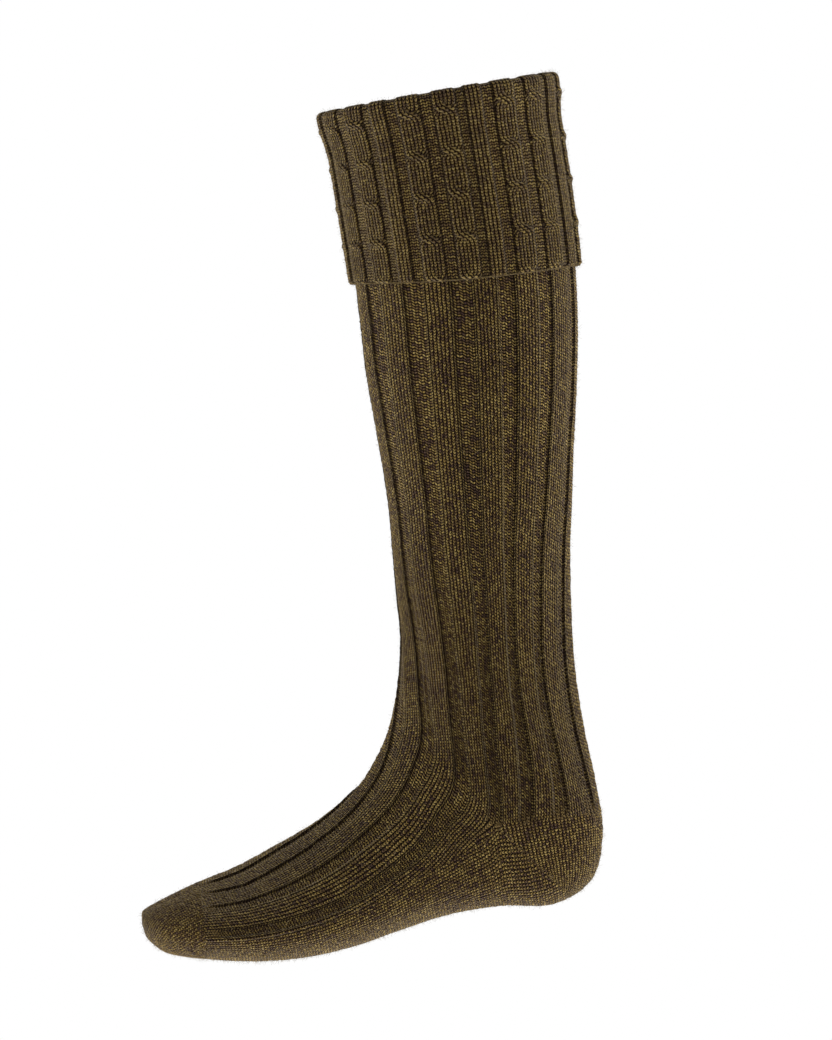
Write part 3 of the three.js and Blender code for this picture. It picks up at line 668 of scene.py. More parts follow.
def cut_borders(bm):
    """Cuts the skin along the borders between leg, heel, foot and toe."""
    corner = upright(HEEL_CORNER)
    centres = lambda: ((f, f.calc_center_median()) for f in bm.faces)
    for share in (ANKLE_BEND, HEEL_TOP, HEEL_BOTTOM):
        along = upright(share) - corner
        along /= np.linalg.norm(along)
        near = [f for f, c in centres()
                if (c.x - corner[0]) * along[0] + (c.z - corner[1]) * along[1] > -BORDER_REACH]
        bisect(bm, near, (corner[0], 0, corner[1]), (-along[1], 0, along[0]))
    near = [f for f, c in centres() if c.x < TOE_LENGTH + 2 * BORDER_REACH]
    bisect(bm, near, (TOE_LENGTH, 0, 0), (1, 0, -math.tan(TOE_TILT)))


def bisect(bm, faces, place, normal):
    parts = set(faces)
    for f in faces:
        parts.update(f.edges)
        parts.update(f.verts)
    bmesh.ops.bisect_plane(bm, geom=list(parts), dist=1e-4, plane_co=place, plane_no=normal)


def open_loops(faces_edges):
    """Chains the open edges, in the direction of their own faces, into closed loops."""
    following = {}
    for edge in faces_edges:
        loop = edge.link_loops[0]
        following[loop.vert] = loop.link_loop_next.vert
    loops = []
    while following:
        start, vert = next(iter(following.items()))
        chain = [start]
        del following[start]
        while vert is not start and vert in following:
            chain.append(vert)
            vert = following.pop(vert)
        loops.append(chain)
    return loops


def loop_share(chain):
    co = np.array([v.co for v in chain])
    step = np.linalg.norm(np.roll(co, -1, axis=0) - co, axis=1)
    return co, np.concatenate([[0], np.cumsum(step)]) / step.sum()


def zip_wall(bm, outer, inner):
    """Joins an outer open edge to an inner one with a strip of triangles."""
    inner = inner[::-1]
    co_a, share_a = loop_share(outer)
    co_b, _ = loop_share(inner)
    first = int(np.argmin(np.linalg.norm(co_b - co_a[0], axis=1)))
    inner = inner[first:] + inner[:first]
    _, share_b = loop_share(inner)
    a = b = 0
    strips = []
    while a < len(outer) or b < len(inner):
        here_a, here_b = outer[a % len(outer)], inner[b % len(inner)]
        step_a = b >= len(inner) or (a < len(outer) and share_a[a + 1] <= share_b[b + 1])
        if step_a:
            strips.append((outer[(a + 1) % len(outer)], here_a, here_b))
            a += 1
        else:
            strips.append((here_b, inner[(b + 1) % len(inner)], here_a))
            b += 1
    return [bm.faces.new(s) for s in strips]


def only_zone(bm, number):
    """A copy of a skin with the faces of one zone."""
    bm = bm.copy()
    zones = zone_of(np.array([f.calc_center_median() for f in bm.faces]))
    bmesh.ops.delete(bm, geom=[f for f, z in zip(bm.faces, zones) if z != number], context="FACES")
    return bm


def zone_piece(name, number, outside, inside):
    """One zone of the tube as a closed wall: its outside, its inside and the edges between them."""
    bm, lining = only_zone(outside, number), only_zone(inside, number)
    outer_loops = open_loops([e for e in bm.edges if e.is_boundary])
    carrier = bpy.data.meshes.new("lining")
    lining.to_mesh(carrier)
    lining.free()
    known = set(bm.verts)
    bm.from_mesh(carrier)
    bpy.data.meshes.remove(carrier)
    inner_loops = open_loops([e for e in bm.edges if e.is_boundary and e.verts[0] not in known])
    middle = lambda chain: np.mean([v.co for v in chain], axis=0)
    walls = []
    for outer in outer_loops:
        inner = min(inner_loops, key=lambda chain: np.linalg.norm(middle(chain) - middle(outer)))
        walls += zip_wall(bm, outer, inner)
    return finish_piece(name, bm, set(walls))


def add_object(name, data):
    obj = bpy.data.objects.new(name, data)
    scene.collection.objects.link(obj)
    return obj


def finish_piece(name, bm, walls=()):
    """Moves the bmesh into the row frame and makes it an object with its own normals."""
    shade = bm.verts.layers.float_vector["shade"]
    normals = []
    for f in bm.faces:
        f.smooth = True
        if f in walls:
            f.normal_update()
            normals += [tuple(f.normal)] * len(f.verts)
        else:
            normals += [tuple(v[shade]) for v in f.verts]
    bm.transform(Matrix.Diagonal((MM, MM, MM, 1)) @ Matrix.Translation(-HEEL_SEAT))
    mesh = bpy.data.meshes.new(name)
    bm.to_mesh(mesh)
    bm.free()
    mesh.attributes.remove(mesh.attributes["shade"])
    mesh.normals_split_custom_set(normals)
    return add_object(name, mesh)


def purl_spans():
    edges = [CUFF_RIB / 2 + CUFF_SLOPE]
    for centre, width in CABLES:
        edges += [centre - width / 2 - CUFF_SLOPE, centre + width / 2 + CUFF_SLOPE]
    edges.append(1 - CUFF_RIB / 2 - CUFF_SLOPE)
    return list(zip(edges[::2], edges[1::2]))


def cuff_columns():
    """Shares of a repeat where the cuff has a column: close together on ribs and cables."""
    half = CUFF_RIB / 2
    places = list(np.linspace(-half, half, CUFF_RIB_WALES * 2 + 1) % 1)
    for centre, width in CABLES:
        places += list(np.linspace(centre - width / 2, centre + width / 2, 19))
    for a, b in purl_spans():
        places += list(np.linspace(a, b, 7))
    return np.unique(np.round(places, 5))


def cuff_relief(share, down, repeat_length):
    """Height of the cuff's knit over its purl floor, its wale, its kind and its painted shade or painted
    highlight.
    """
    height, wale, purl = np.zeros(share.shape), np.zeros(share.shape), np.ones(share.shape)
    shade = np.full(share.shape, CUFF_PURL_PAINTED_HIGHLIGHT)
    for n, (a, b) in enumerate(purl_spans()):
        inside = (share >= a - CUFF_SLOPE) & (share <= b + CUFF_SLOPE)
        wale = np.where(inside, CUFF_PURL_STEP * n + CUFF_PURL_WALES * (share - a) / (b - a), wale)
    d = np.where(share > 0.5, share - 1, share) / (CUFF_RIB / 2)
    on_rib = np.abs(d) <= 1 + 1e-6
    ridge = -np.cos(math.pi * CUFF_RIB_WALES * (d + 1))
    height = np.where(on_rib, CUFF_RELIEF + WALE_RELIEF * 0.5 * ridge, height)
    wale = np.where(on_rib, CUFF_RIB_MAP + CUFF_RIB_WALES * (d + 1) / 2, wale)
    purl = np.where(on_rib, 0, purl)
    shade = np.where(on_rib, CUFF_RIB_PAINTED_HIGHLIGHT, shade)
    for n, (centre, width) in enumerate(CABLES):
        x = (share - centre) * repeat_length
        half = width * repeat_length / 2
        strand = half / 2
        inside = np.abs(x) <= half + 1e-3
        phase = (down - CABLE_FIRST) / CABLE_PITCH
        t = np.clip((phase - np.round(phase)) * CABLE_PITCH / CROSSING_LENGTH * 2, -1, 1)
        place = strand * np.sin(t * math.pi / 2)
        lift = np.cos(t * math.pi / 2) ** 2
        over = (x - place) / (strand * (1 + 0.5 * lift))
        under = (x + place) / strand
        on_top = np.abs(over) < 1
        edge = np.clip(1 - (np.abs(x) / (half * 1.02)) ** 8, 0, 1) ** 0.5
        parting, parting_width = STRAND_PARTING
        rise = CUFF_RELIEF * edge - parting * np.exp(-(x / parting_width) ** 2) * (1 - lift)
        crossing = CROSSING_LIFT * lift * np.clip(1 - over**4, 0, 1) ** 0.5
        rise += np.where(on_top, crossing, -CROSSING_DROP * lift)
        across = STRAND_WALES * (np.where(on_top, over, under) + 1) / 2
        rise -= WALE_RELIEF * 0.5 * np.cos(2 * math.pi * across)
        # a painted shadow beside the strand that crosses over, and a painted highlight on that strand
        line, line_width = CROSSING_SHADOW
        shadow = lift * np.exp(-(((np.abs(over) - line) / line_width) ** 2))
        shadow = shadow + CUFF_PURL_PAINTED_HIGHLIGHT * (shadow < 0.1)
        height = np.where(inside, rise, height)
        first = CABLE_MAP + CABLE_STEP * n + np.where(on_top, TOP_STRAND_STEP, 0)
        wale = np.where(inside, first + across, wale)
        purl = np.where(inside, 0, purl)
        shade = np.where(inside, np.where(on_top, CUFF_PURL_PAINTED_HIGHLIGHT + CROSSING_PAINTED_HIGHLIGHT * lift, shadow), shade)
    # painted shade on the slopes between the purl and the ribs and cables
    for a, b in purl_spans():
        for low, high in ((a - CUFF_SLOPE, a), (b, b + CUFF_SLOPE)):
            shade = np.where((share > low + 1e-4) & (share < high - 1e-4), 1.0, shade)
    return height, wale, purl, shade


def leg_outline(q):
    """The leg's outline under the cuff as a function of height: columns at rib numbers q."""
    heights = np.linspace(335, LEG_TOP + 0.001, 28)
    u = np.linspace(20, LAST_ROW, 200)
    levels = rows_at(u)[:, LOW_Z]
    rows = rows_at(np.interp(heights, levels, u))
    rows[:, TOP_Z] = rows[:, LOW_Z] = heights
    points, _ = section_points(rows, q)
    tangent = (np.roll(points, -1, axis=1) - np.roll(points, 1, axis=1))[..., :2]
    normal = np.stack([tangent[..., 1], -tangent[..., 0]], axis=-1)
    normal /= np.linalg.norm(normal, axis=2, keepdims=True)
    middle = points[..., :2].mean(axis=1, keepdims=True)
    if ((points[..., :2] - middle) * normal).sum() < 0:
        normal = -normal
    return heights, points, normal


def even_places(repeats):
    """Rib numbers of places spaced evenly round the top of the leg, in repeats from the inner side."""
    q = np.linspace(-HEEL_LINE, 3 * HEEL_LINE, 1401)
    ring, _ = section_points(rows_at(LAST_ROW), np.minimum(q, 3 * HEEL_LINE - 1e-6))
    run = run_along(ring[0])
    wanted = (repeats + CUFF_TURN) % CUFF_REPEATS
    return np.interp(wanted * run[-1] / CUFF_REPEATS, run, q), run[-1] / CUFF_REPEATS


def cuff_rings(share, q, repeat_length):
    """The cuff's rings from the leg's rim over the fold, down the outside and up the hidden side, how far
    down the knit each lies, and how many of them are outside."""
    heights, outline, sideways = leg_outline(q)
    hem = hem_height(outline[-1, :, 0])
    lip = LEG_TOP + SEAM_GAP
    outset = CUFF_CLEARANCE + CUFF_WALL
    columns = np.arange(len(q))
    rings, downs = [], []

    def ring(z, out, down):
        z = np.broadcast_to(np.asarray(z, float), q.shape)
        k = (np.clip(z, heights[0], heights[-1]) - heights[0]) / (heights[1] - heights[0])
        low = np.clip(np.floor(k).astype(int), 0, len(heights) - 2)
        t = (k - low)[:, None]
        level = lambda table: table[low, columns] * (1 - t) + table[low + 1, columns] * t
        xy = level(outline[..., :2]) + level(sideways) * np.broadcast_to(out, q.shape)[:, None]
        rings.append(np.column_stack([xy, z]))
        downs.append(np.zeros(len(q)) + down)

    rng = np.random.default_rng(11)
    span = WALL + outset + CUFF_FLARE
    top = FOLD_TOP - lip
    fold_length = math.pi * (span / 2 + top) / 2
    for i in range(FOLD_ROWS):
        angle = math.pi * i / FOLD_ROWS
        along = np.zeros(len(q)) + (i / FOLD_ROWS - 0.5) * fold_length
        relief = cuff_relief(share, along, repeat_length)[0] * smooth(0.2, 0.7, i / FOLD_ROWS)
        squared = abs(math.cos(angle)) ** 0.8 * math.copysign(1, math.cos(angle))
        out = -WALL + span * (1 - squared) / 2 - relief * math.cos(angle)
        ring(lip + (top + relief * 0.7) * math.sin(angle) ** 0.8, out, along)
    length = FOLD_TOP - hem.mean()
    steps = int(round(length / CUFF_ROW))
    start = fold_length / 2
    for i in range(steps + 1):
        t = i / steps
        z = lip + (hem - lip) * t
        along = np.zeros(len(q)) + start + i * length / steps
        relief = cuff_relief(share, along, repeat_length)[0] + UNEVENNESS * rng.standard_normal(len(q))
        tuck = smooth(0.0, HEM_TUCK_LENGTH, (1 - t) * length)
        flare = CUFF_FLARE * smooth(FLARE_FROM, lip, z)
        ring(z, outset + flare - HEM_TUCK * (1 - tuck) + relief * (0.5 + 0.5 * tuck), along)
    reach = start + length
    for i, (out, drop) in enumerate(HEM_EDGE):
        ring(hem - drop, CUFF_CLEARANCE + CUFF_WALL * out, reach + (i + 1) * 0.8)
    outside = len(rings)
    for i in range(BACK_ROWS + 1):
        t = i / BACK_ROWS
        ring(hem + (lip - hem) * t, CUFF_CLEARANCE, reach + 3 + t * length)
    return np.array(rings), np.array(downs), outside


def cuff_piece():
    shares = cuff_columns()
    share = np.tile(shares, CUFF_REPEATS)
    q, repeat_length = even_places(np.concatenate([k + shares for k in range(CUFF_REPEATS)]))
    points, down, outside = cuff_rings(share, q, repeat_length)
    extended = np.concatenate([points[-1:], points, points[:1]])
    along = (extended[2:] - extended[:-2]) / 2
    around = (np.roll(points, -1, axis=1) - np.roll(points, 1, axis=1)) / 2
    normal = np.cross(along, around)
    normal /= np.maximum(np.linalg.norm(normal, axis=2, keepdims=True), 1e-9)
    faces, _, _ = ring_quads(*down.shape, closed=True)

    # each face counts its wales from its own middle, so that none runs from one column kind to the next
    share_next = np.roll(share, -1)
    share_next = np.where(share_next < share, share_next + 1, share_next)
    middle = (share + share_next) / 2
    down_next = np.vstack([down[1:], down[-1:] + 1.0])
    _, wale_here, purl, shade = cuff_relief(
        np.broadcast_to(middle % 1, down.shape), (down + down_next) / 2, repeat_length)
    purl[outside:], shade[outside:] = INNER_SIDE, 0
    knit = np.zeros(down.shape + (4, 2))
    corners = ((share, down), (share, down_next), (share_next, down_next), (share_next, down))
    for c, (s, d) in enumerate(corners):
        s = np.broadcast_to(s, down.shape)
        wale = cuff_relief(s % 1, d, repeat_length)[1]
        beside = wale_here + (s - middle) * repeat_length / CUFF_WALE
        knit[..., c, 0] = np.where(np.abs(wale - wale_here) > 1.2, beside, wale) + CUFF_MAP
        knit[..., c, 1] = -d / CUFF_COURSE
    kind = np.broadcast_to(np.stack([purl, shade], axis=-1)[:, :, None], knit.shape)
    skin = Knit(points.reshape(-1, 3), normal.reshape(-1, 3), [faces],
                [knit.reshape(-1, 4, 2)], [kind.reshape(-1, 4, 2)])
    return finish_piece("cuff_knit", bmesh_of(skin))


# Materials: nodes are made with their settings, and their inputs by name or place

def feed(tree, socket, value):
    """Gives an input a number, a colour or a vector, or links another socket to it."""
    if isinstance(value, bpy.types.NodeSocket):
        tree.links.new(value, socket)
    elif socket.type == "RGBA" and len(value) == 3:
        socket.default_value = (*value, 1)
    else:
        socket.default_value = value


def node(tree, kind, inputs=None, **settings):
    made = tree.nodes.new(kind)
    for name, value in settings.items():
        setattr(made, name, value)
    for key, value in (inputs or {}).items():
        feed(tree, made.inputs[key], value)
    return made


def new_group(name, inputs, outputs, kind="Shader"):
    """A node group with its sockets, and its input and output nodes."""
    tree = bpy.data.node_groups.new(name, kind + "NodeTree")
    for side, sockets in (("INPUT", inputs), ("OUTPUT", outputs)):
        for label, socket, *value in sockets:
            made = tree.interface.new_socket(label, in_out=side, socket_type="NodeSocket" + socket)
            if value:
                made.default_value = value[0]
    return tree, tree.nodes.new("NodeGroupInput").outputs, tree.nodes.new("NodeGroupOutput").inputs


def math_node(tree, operation, *values, clamp=False):
    return node(tree, "ShaderNodeMath", dict(enumerate(values)),
                operation=operation, use_clamp=clamp).outputs[0]


def mix_colour(tree, factor, a, b):
    return node(tree, "ShaderNodeMix", {0: factor, 6: a, 7: b}, data_type="RGBA").outputs[2]


def vector_of(tree, x, y, z=0.0):
    return node(tree, "ShaderNodeCombineXYZ", {0: x, 1: y, 2: z}).outputs[0]


def parts_of(tree, vector):
    return node(tree, "ShaderNodeSeparateXYZ", {0: vector}).outputs


def scaled(tree, vector, scale):
    return node(tree, "ShaderNodeVectorMath", {0: vector, "Scale": scale}, operation="SCALE").outputs[0]


def noise(tree, vector, scale, detail=2.0, roughness=0.5):
    return node(tree, "ShaderNodeTexNoise",
                {"Vector": vector, "Scale": scale, "Detail": detail, "Roughness": roughness}).outputs


def ramp_between(tree, value, low, high):
    """Nothing at low, one at high, smooth between them."""
    return node(tree, "ShaderNodeMapRange", {"Value": value, "From Min": low, "From Max": high},
                interpolation_type="SMOOTHSTEP").outputs[0]


# The stitches, in wales and courses, with heights as shares of the yarn's
WALE_DRIFT = 0.3
COURSE_DRIFT = 0.7
LEG_RISE = 0.7  # how far a plain stitch's legs rise from the middle of its wale
PURL_RISE = 0.5
BORDER = (1.0, 0.35)  # the line between wales, from its middle to its edge: low in the bump and dark with painted shade
BORDER_HEIGHT = 0.18
SOFTER_DROP = 0.45


def stitches_group():
    """Height of the yarn over the fabric from wale and course numbers, plain or purl."""
    tree, given, out = new_group(
        "knit_stitches",
        [("Knit", "Vector"), ("Purl", "Float", 0.0)],
        [("Height", "Float"), ("Stitch", "Vector")],
    )
    m = lambda op, *values: math_node(tree, op, *values)
    arc = lambda value: m("SINE", m("MULTIPLY", m("FRACT", value), math.pi))
    wander = lambda value, size: m("MULTIPLY_ADD", value, size, -size / 2)
    knit = parts_of(tree, given["Knit"])
    shift = parts_of(tree, noise(tree, given["Knit"], 0.5, 1.0)["Color"])
    wale = m("ADD", knit[0], wander(shift[0], WALE_DRIFT))
    course = m("ADD", knit[1], wander(shift[1], COURSE_DRIFT))

    across = m("MULTIPLY", m("ABSOLUTE", m("SUBTRACT", m("FRACT", wale), 0.5)), 2.0)
    rising = m("SUBTRACT", course, m("MULTIPLY", across, LEG_RISE))
    soft = 0.0
    for first_wale, change in SOFTER_FROM:
        soft = m("MULTIPLY_ADD", m("GREATER_THAN", wale, first_wale), change, soft)
    border = m("MAXIMUM", ramp_between(tree, across, *BORDER), m("ADD", soft, BORDER_HEIGHT))
    plain = m("MULTIPLY", border, m("MULTIPLY_ADD", m("POWER", arc(rising), 1.3), 0.97, 0.03))
    plain = m("MULTIPLY", plain, m("MULTIPLY_ADD", soft, -SOFTER_DROP, 1.0))

    wave = m("ADD", course, m("MULTIPLY", across, PURL_RISE))
    dash = m("MULTIPLY_ADD", arc(m("MULTIPLY", wale, 2.0)), 0.85, 0.15)
    purl = m("MULTIPLY", m("POWER", arc(wave), 1.5), m("POWER", dash, 0.8))
    feed(tree, out["Height"], node(tree, "ShaderNodeMix", {0: given["Purl"], 2: plain, 3: purl}).outputs[0])
    half = m("FLOOR", m("MULTIPLY", wale, 2.0))
    turn = m("FLOOR", m("ADD", rising, m("MULTIPLY", given["Purl"], m("SUBTRACT", wave, rising))))
    feed(tree, out["Stitch"], vector_of(tree, half, turn, given["Purl"]))
    return tree


# The marled yarn's colours: painted shade between the stitches, a painted highlight on stitches that stand
# proud, and along the yarn
PAINTED_GAP_SHADE = (0.0056, 0.0023, 0.0006)
PAINTED_HIGHLIGHT = (0.22, 0.160, 0.055)
YARN = (
    (0.0, (0.022, 0.012, 0.009)),
    (0.22, (0.066, 0.038, 0.033)),
    (0.42, (0.131, 0.080, 0.035)),
    (0.62, (0.252, 0.166, 0.046)),
    (0.84, (0.435, 0.318, 0.115)),
    (0.95, (0.260, 0.095, 0.032)),
    (1.0, (0.220, 0.190, 0.150)),
)
# How much each noise counts in the place along the yarn's colours
STITCH_SHARE = 0.56
STREAK_SHARE = 0.42
PATCH_SHARE = 0.35
FIBRE_SHARE = 0.4
YARN_LIFT = 0.02
STREAK_STRETCH = (0.8, 1.1, 1)
PATCH_SCALE = 55.0
FIBRE_SCALE = 2600.0
LIT = (0.2, 0.85)  # heights between which the yarn's colour comes out of the painted shade between the stitches
# How strongly creases get painted shade, and stitches that stand proud a painted highlight
PAINTED_SHADE_STRENGTH = 0.82
PAINTED_HIGHLIGHT_STRENGTH = 0.4
FIBRE_BUMP = 0.35
# Darkest and lightest colours of plain wool, and how fine its changes are
SEAM_YARN = ((0.055, 0.036, 0.018), (0.15, 0.108, 0.045), 900.0)
FIBRE_WOOL = ((0.16, 0.115, 0.055), (0.33, 0.26, 0.15), 300.0)


def yarn_group():
    """Marled wool: painted shade between the stitches, olive to brown on them, changing along the yarn."""
    tree, given, out = new_group(
        "marled_yarn",
        [("Knit", "Vector"), ("Stitch", "Vector"), ("Height", "Float"), ("Crease", "Float"),
         ("Place", "Vector")],
        [("Color", "Color"), ("Fibre", "Float")],
    )
    m = lambda op, *values, **kw: math_node(tree, op, *values, **kw)
    white = node(tree, "ShaderNodeTexWhiteNoise", {"Vector": given["Stitch"]})
    stretch = node(tree, "ShaderNodeMapping", {"Vector": given["Knit"], "Scale": STREAK_STRETCH})
    streak = noise(tree, stretch.outputs[0], 1.0, 3.0, 0.6)[0]
    patch = noise(tree, given["Place"], PATCH_SCALE)[0]
    fibre = noise(tree, given["Place"], FIBRE_SCALE, 2.0, 0.6)[0]
    blend = m("ADD", m("MULTIPLY", white.outputs["Value"], STITCH_SHARE), m("MULTIPLY", streak, STREAK_SHARE))
    for value, share in ((patch, PATCH_SHARE), (fibre, FIBRE_SHARE)):
        blend = m("ADD", blend, m("MULTIPLY", m("SUBTRACT", value, 0.5), share))
    ramp = node(tree, "ShaderNodeValToRGB", {0: m("ADD", blend, YARN_LIFT, clamp=True)})
    places = ramp.color_ramp.elements
    places.remove(places[0])
    places[0].position = YARN[0][0]
    places[0].color = (*YARN[0][1], 1)
    for place, colour in YARN[1:]:
        places.new(place).color = (*colour, 1)
    # painted shade: the low parts of the stitches take the dark colour between them
    lit = ramp_between(tree, given["Height"], *LIT)
    colour = mix_colour(tree, lit, PAINTED_GAP_SHADE, ramp.outputs[0])
    # painted shade in creases
    painted_shade = m("MAXIMUM", given["Crease"], 0.0)
    colour = mix_colour(tree, m("MULTIPLY", painted_shade, PAINTED_SHADE_STRENGTH), colour, PAINTED_GAP_SHADE)
    # a painted highlight on stitches that stand proud
    painted_highlight = m("MAXIMUM", m("MULTIPLY", given["Crease"], -1.0), 0.0)
    painted_highlight = m("MULTIPLY", m("MULTIPLY", painted_highlight, lit), PAINTED_HIGHLIGHT_STRENGTH)
    feed(tree, out["Color"], mix_colour(tree, painted_highlight, colour, PAINTED_HIGHLIGHT))
    feed(tree, out["Fibre"], fibre)
    return tree


STITCHES = stitches_group()
WOOL = yarn_group()


def new_material(name):
    material = bpy.data.materials.new(name)
    material.use_nodes = True
    material.node_tree.nodes.clear()
    return material, material.node_tree


def surface(tree, inputs):
    shader = node(tree, "ShaderNodeBsdfPrincipled", inputs)
    node(tree, "ShaderNodeOutputMaterial", {0: shader.outputs[0]})


def knit_material(name, depth):
    """Wool knit: its stitches raised by a depth in metres, with a soft dry surface."""
    material, tree = new_material(name)
    knit = node(tree, "ShaderNodeUVMap", uv_map="knit").outputs[0]
    kinds = parts_of(tree, node(tree, "ShaderNodeUVMap", uv_map="kind").outputs[0])
    stitches = node(tree, "ShaderNodeGroup", node_tree=STITCHES)
    wool = node(tree, "ShaderNodeGroup", node_tree=WOOL)
    # the kind map's second channel carries the painted shade and the painted highlight
    for group, inputs in (
        (stitches, {"Knit": knit, "Purl": kinds[0]}),
        (wool, {"Knit": knit, "Stitch": stitches.outputs["Stitch"], "Height": stitches.outputs["Height"],
                "Crease": kinds[1], "Place": tree.nodes.new("ShaderNodeTexCoord").outputs["Object"]}),
    ):
        for label, value in inputs.items():
            feed(tree, group.inputs[label], value)
    height = math_node(tree, "MULTIPLY_ADD", wool.outputs["Fibre"], FIBRE_BUMP, stitches.outputs["Height"])
    bump = node(tree, "ShaderNodeBump", {"Strength": 1.0, "Distance": depth, "Height": height})
    surface(tree, {
        "Base Color": wool.outputs["Color"], "Normal": bump.outputs[0], "Roughness": 0.92,
        "Specular IOR Level": 0.08, "Sheen Weight": 0.4, "Sheen Roughness": 0.2,
        "Sheen Tint": (0.8, 0.66, 0.48),
    })
    return material


def wool_finish(name, low, high, scale):
    """Plain wool for yarn ends and fibres, its colour changing from place to place."""
    material, tree = new_material(name)
    place = tree.nodes.new("ShaderNodeTexCoord").outputs["Object"]
    mask = ramp_between(tree, noise(tree, place, scale)[0], 0.35, 0.65)
    surface(tree, {"Base Color": mix_colour(tree, mask, low, high), "Roughness": 0.95,
                   "Specular IOR Level": 0.1})
    return material


def dress(piece, node, material):
    piece.data.materials.clear()
    piece.data.materials.append(material)
    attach(piece, "root")
    if node:
        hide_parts(node)


# What repeats over the knit: single stitches along an edge, and the loose fibres of the wool

def grow(carrier, tree, values, name):
    """Runs the tree on a carrier object and keeps its result as a plain mesh."""
    modifier = carrier.modifiers.new("grow", "NODES")
    modifier.node_group = tree
    for socket in tree.interface.items_tree:
        if socket.in_out == "INPUT" and socket.name in values:
            modifier[socket.identifier] = values[socket.name]
    graph = bpy.context.evaluated_depsgraph_get()
    mesh = bpy.data.meshes.new_from_object(carrier.evaluated_get(graph))
    mesh.name = name
    old = carrier.data
    bpy.data.objects.remove(carrier)
    bpy.data.meshes.remove(old)
    return add_object(name, mesh)


def vector_attribute(tree, name):
    return node(tree, "GeometryNodeInputNamedAttribute", {"Name": name},
                data_type="FLOAT_VECTOR").outputs["Attribute"]


def random_value(tree, kind, low, high, seed):
    """A random number or vector between two for each point."""
    made = node(tree, "FunctionNodeRandomValue", {"Seed": seed}, data_type=kind)
    socket_type = {"FLOAT": "VALUE", "FLOAT_VECTOR": "VECTOR"}[kind]
    for socket, value in zip([s for s in made.inputs if s.type == socket_type], (low, high)):
        feed(tree, socket, value)
    return [s for s in made.outputs if s.type == socket_type][0]


def place_on_points(tree, out, points, instance, rotation, scale, material):
    """Ends a tree: its instances made real, with their material."""
    place = node(tree, "GeometryNodeInstanceOnPoints",
                 {"Points": points, "Instance": instance, "Rotation": rotation, "Scale": scale})
    real = node(tree, "GeometryNodeRealizeInstances", {0: place.outputs[0]})
    finish = node(tree, "GeometryNodeSetMaterial", {"Geometry": real.outputs[0], "Material": material})
    feed(tree, out[0], finish.outputs[0])


def edge_stitches_tree(material):
    """A short rounded length of yarn at each point, lying across or along its edge."""
    tree, given, out = new_group(
        "edge_stitches",
        [("Geometry", "Geometry"), ("Length", "Float", 0.002), ("Thickness", "Float", 0.0009),
         ("Uneven", "Float", 0.15), ("Seed", "Int", 3)],
        [("Geometry", "Geometry")], "Geometry")
    bead = node(tree, "GeometryNodeMeshUVSphere", {"Segments": 6, "Rings": 5, "Radius": 0.5})
    rounded = node(tree, "GeometryNodeSetShadeSmooth", {"Geometry": bead.outputs["Mesh"]})
    to_out = node(tree, "FunctionNodeAlignRotationToVector",
                  {"Vector": vector_attribute(tree, "out")}, axis="Z")
    to_run = node(tree, "FunctionNodeAlignRotationToVector",
                  {"Rotation": to_out.outputs[0], "Vector": vector_attribute(tree, "run")},
                  axis="X", pivot_axis="Z")
    points = node(tree, "GeometryNodeMeshToPoints", {"Radius": 0.001, "Mesh": given["Geometry"]})
    size = vector_of(tree, given["Length"], given["Thickness"], given["Thickness"])
    low, high = (math_node(tree, change, 1.0, given["Uneven"]) for change in ("SUBTRACT", "ADD"))
    vary = random_value(tree, "FLOAT", low, high, given["Seed"])
    place_on_points(tree, out, points.outputs[0], rounded.outputs[0], to_run.outputs[0],
                    scaled(tree, size, vary), material)
    return tree


def loose_fibres_tree(material):
    """Short fine fibres standing and lying all over the knit, each one bent once."""
    tree, given, out = new_group(
        "loose_fibres",
        [("Geometry", "Geometry"), ("Density", "Float", 250000.0), ("Length", "Float", 0.0024),
         ("Width", "Float", 0.00006), ("Tilt", "Float", 1.35), ("Seed", "Int", 5)],
        [("Geometry", "Geometry")], "Geometry")
    m = lambda op, *values: math_node(tree, op, *values)
    length = given["Length"]
    scatter = node(tree, "GeometryNodeDistributePointsOnFaces",
                   {"Mesh": given["Geometry"], "Density": given["Density"], "Seed": given["Seed"]})
    strip = node(tree, "GeometryNodeMeshGrid",
                 {"Size X": given["Width"], "Size Y": length, "Vertices X": 2, "Vertices Y": 3})
    across, along, _ = parts_of(tree, tree.nodes.new("GeometryNodeInputPosition").outputs[0])
    share = m("DIVIDE", along, length)
    bend = m("MULTIPLY", m("SUBTRACT", 0.25, m("MULTIPLY", share, share)), length)
    stand = vector_of(tree, across, m("MULTIPLY", bend, FIBRE_BEND),
                      m("ADD", along, m("MULTIPLY", length, FIBRE_ROOT)))
    shape = node(tree, "GeometryNodeSetPosition", {"Geometry": strip.outputs["Mesh"], "Position": stand})
    spread = vector_of(tree, given["Tilt"], given["Tilt"], math.pi)
    lean = random_value(tree, "FLOAT_VECTOR", scaled(tree, spread, -1.0), spread, given["Seed"])
    turned = node(tree, "FunctionNodeRotateRotation", {
        "Rotation": scatter.outputs["Rotation"],
        "Rotate By": node(tree, "FunctionNodeEulerToRotation", {0: lean}).outputs[0],
    }, rotation_space="LOCAL")
    vary = random_value(tree, "FLOAT", *FIBRE_SCALES, given["Seed"])
    place_on_points(tree, out, scatter.outputs["Points"], shape.outputs[0], turned.outputs[0], vary, material)
    return tree


def stitch_carrier(points, outward, run):
    """Loose points in the row frame with their outward and running directions."""
    mesh = bpy.data.meshes.new("stitch_places")
    mesh.from_pydata(to_frame(points).tolist(), [], [])
    for name, values in (("out", outward), ("run", run)):
        layer = mesh.attributes.new(name, "FLOAT_VECTOR", "POINT")
        layer.data.foreach_set("vector", np.asarray(values, np.float32).ravel())
    return add_object("stitch_places", mesh)


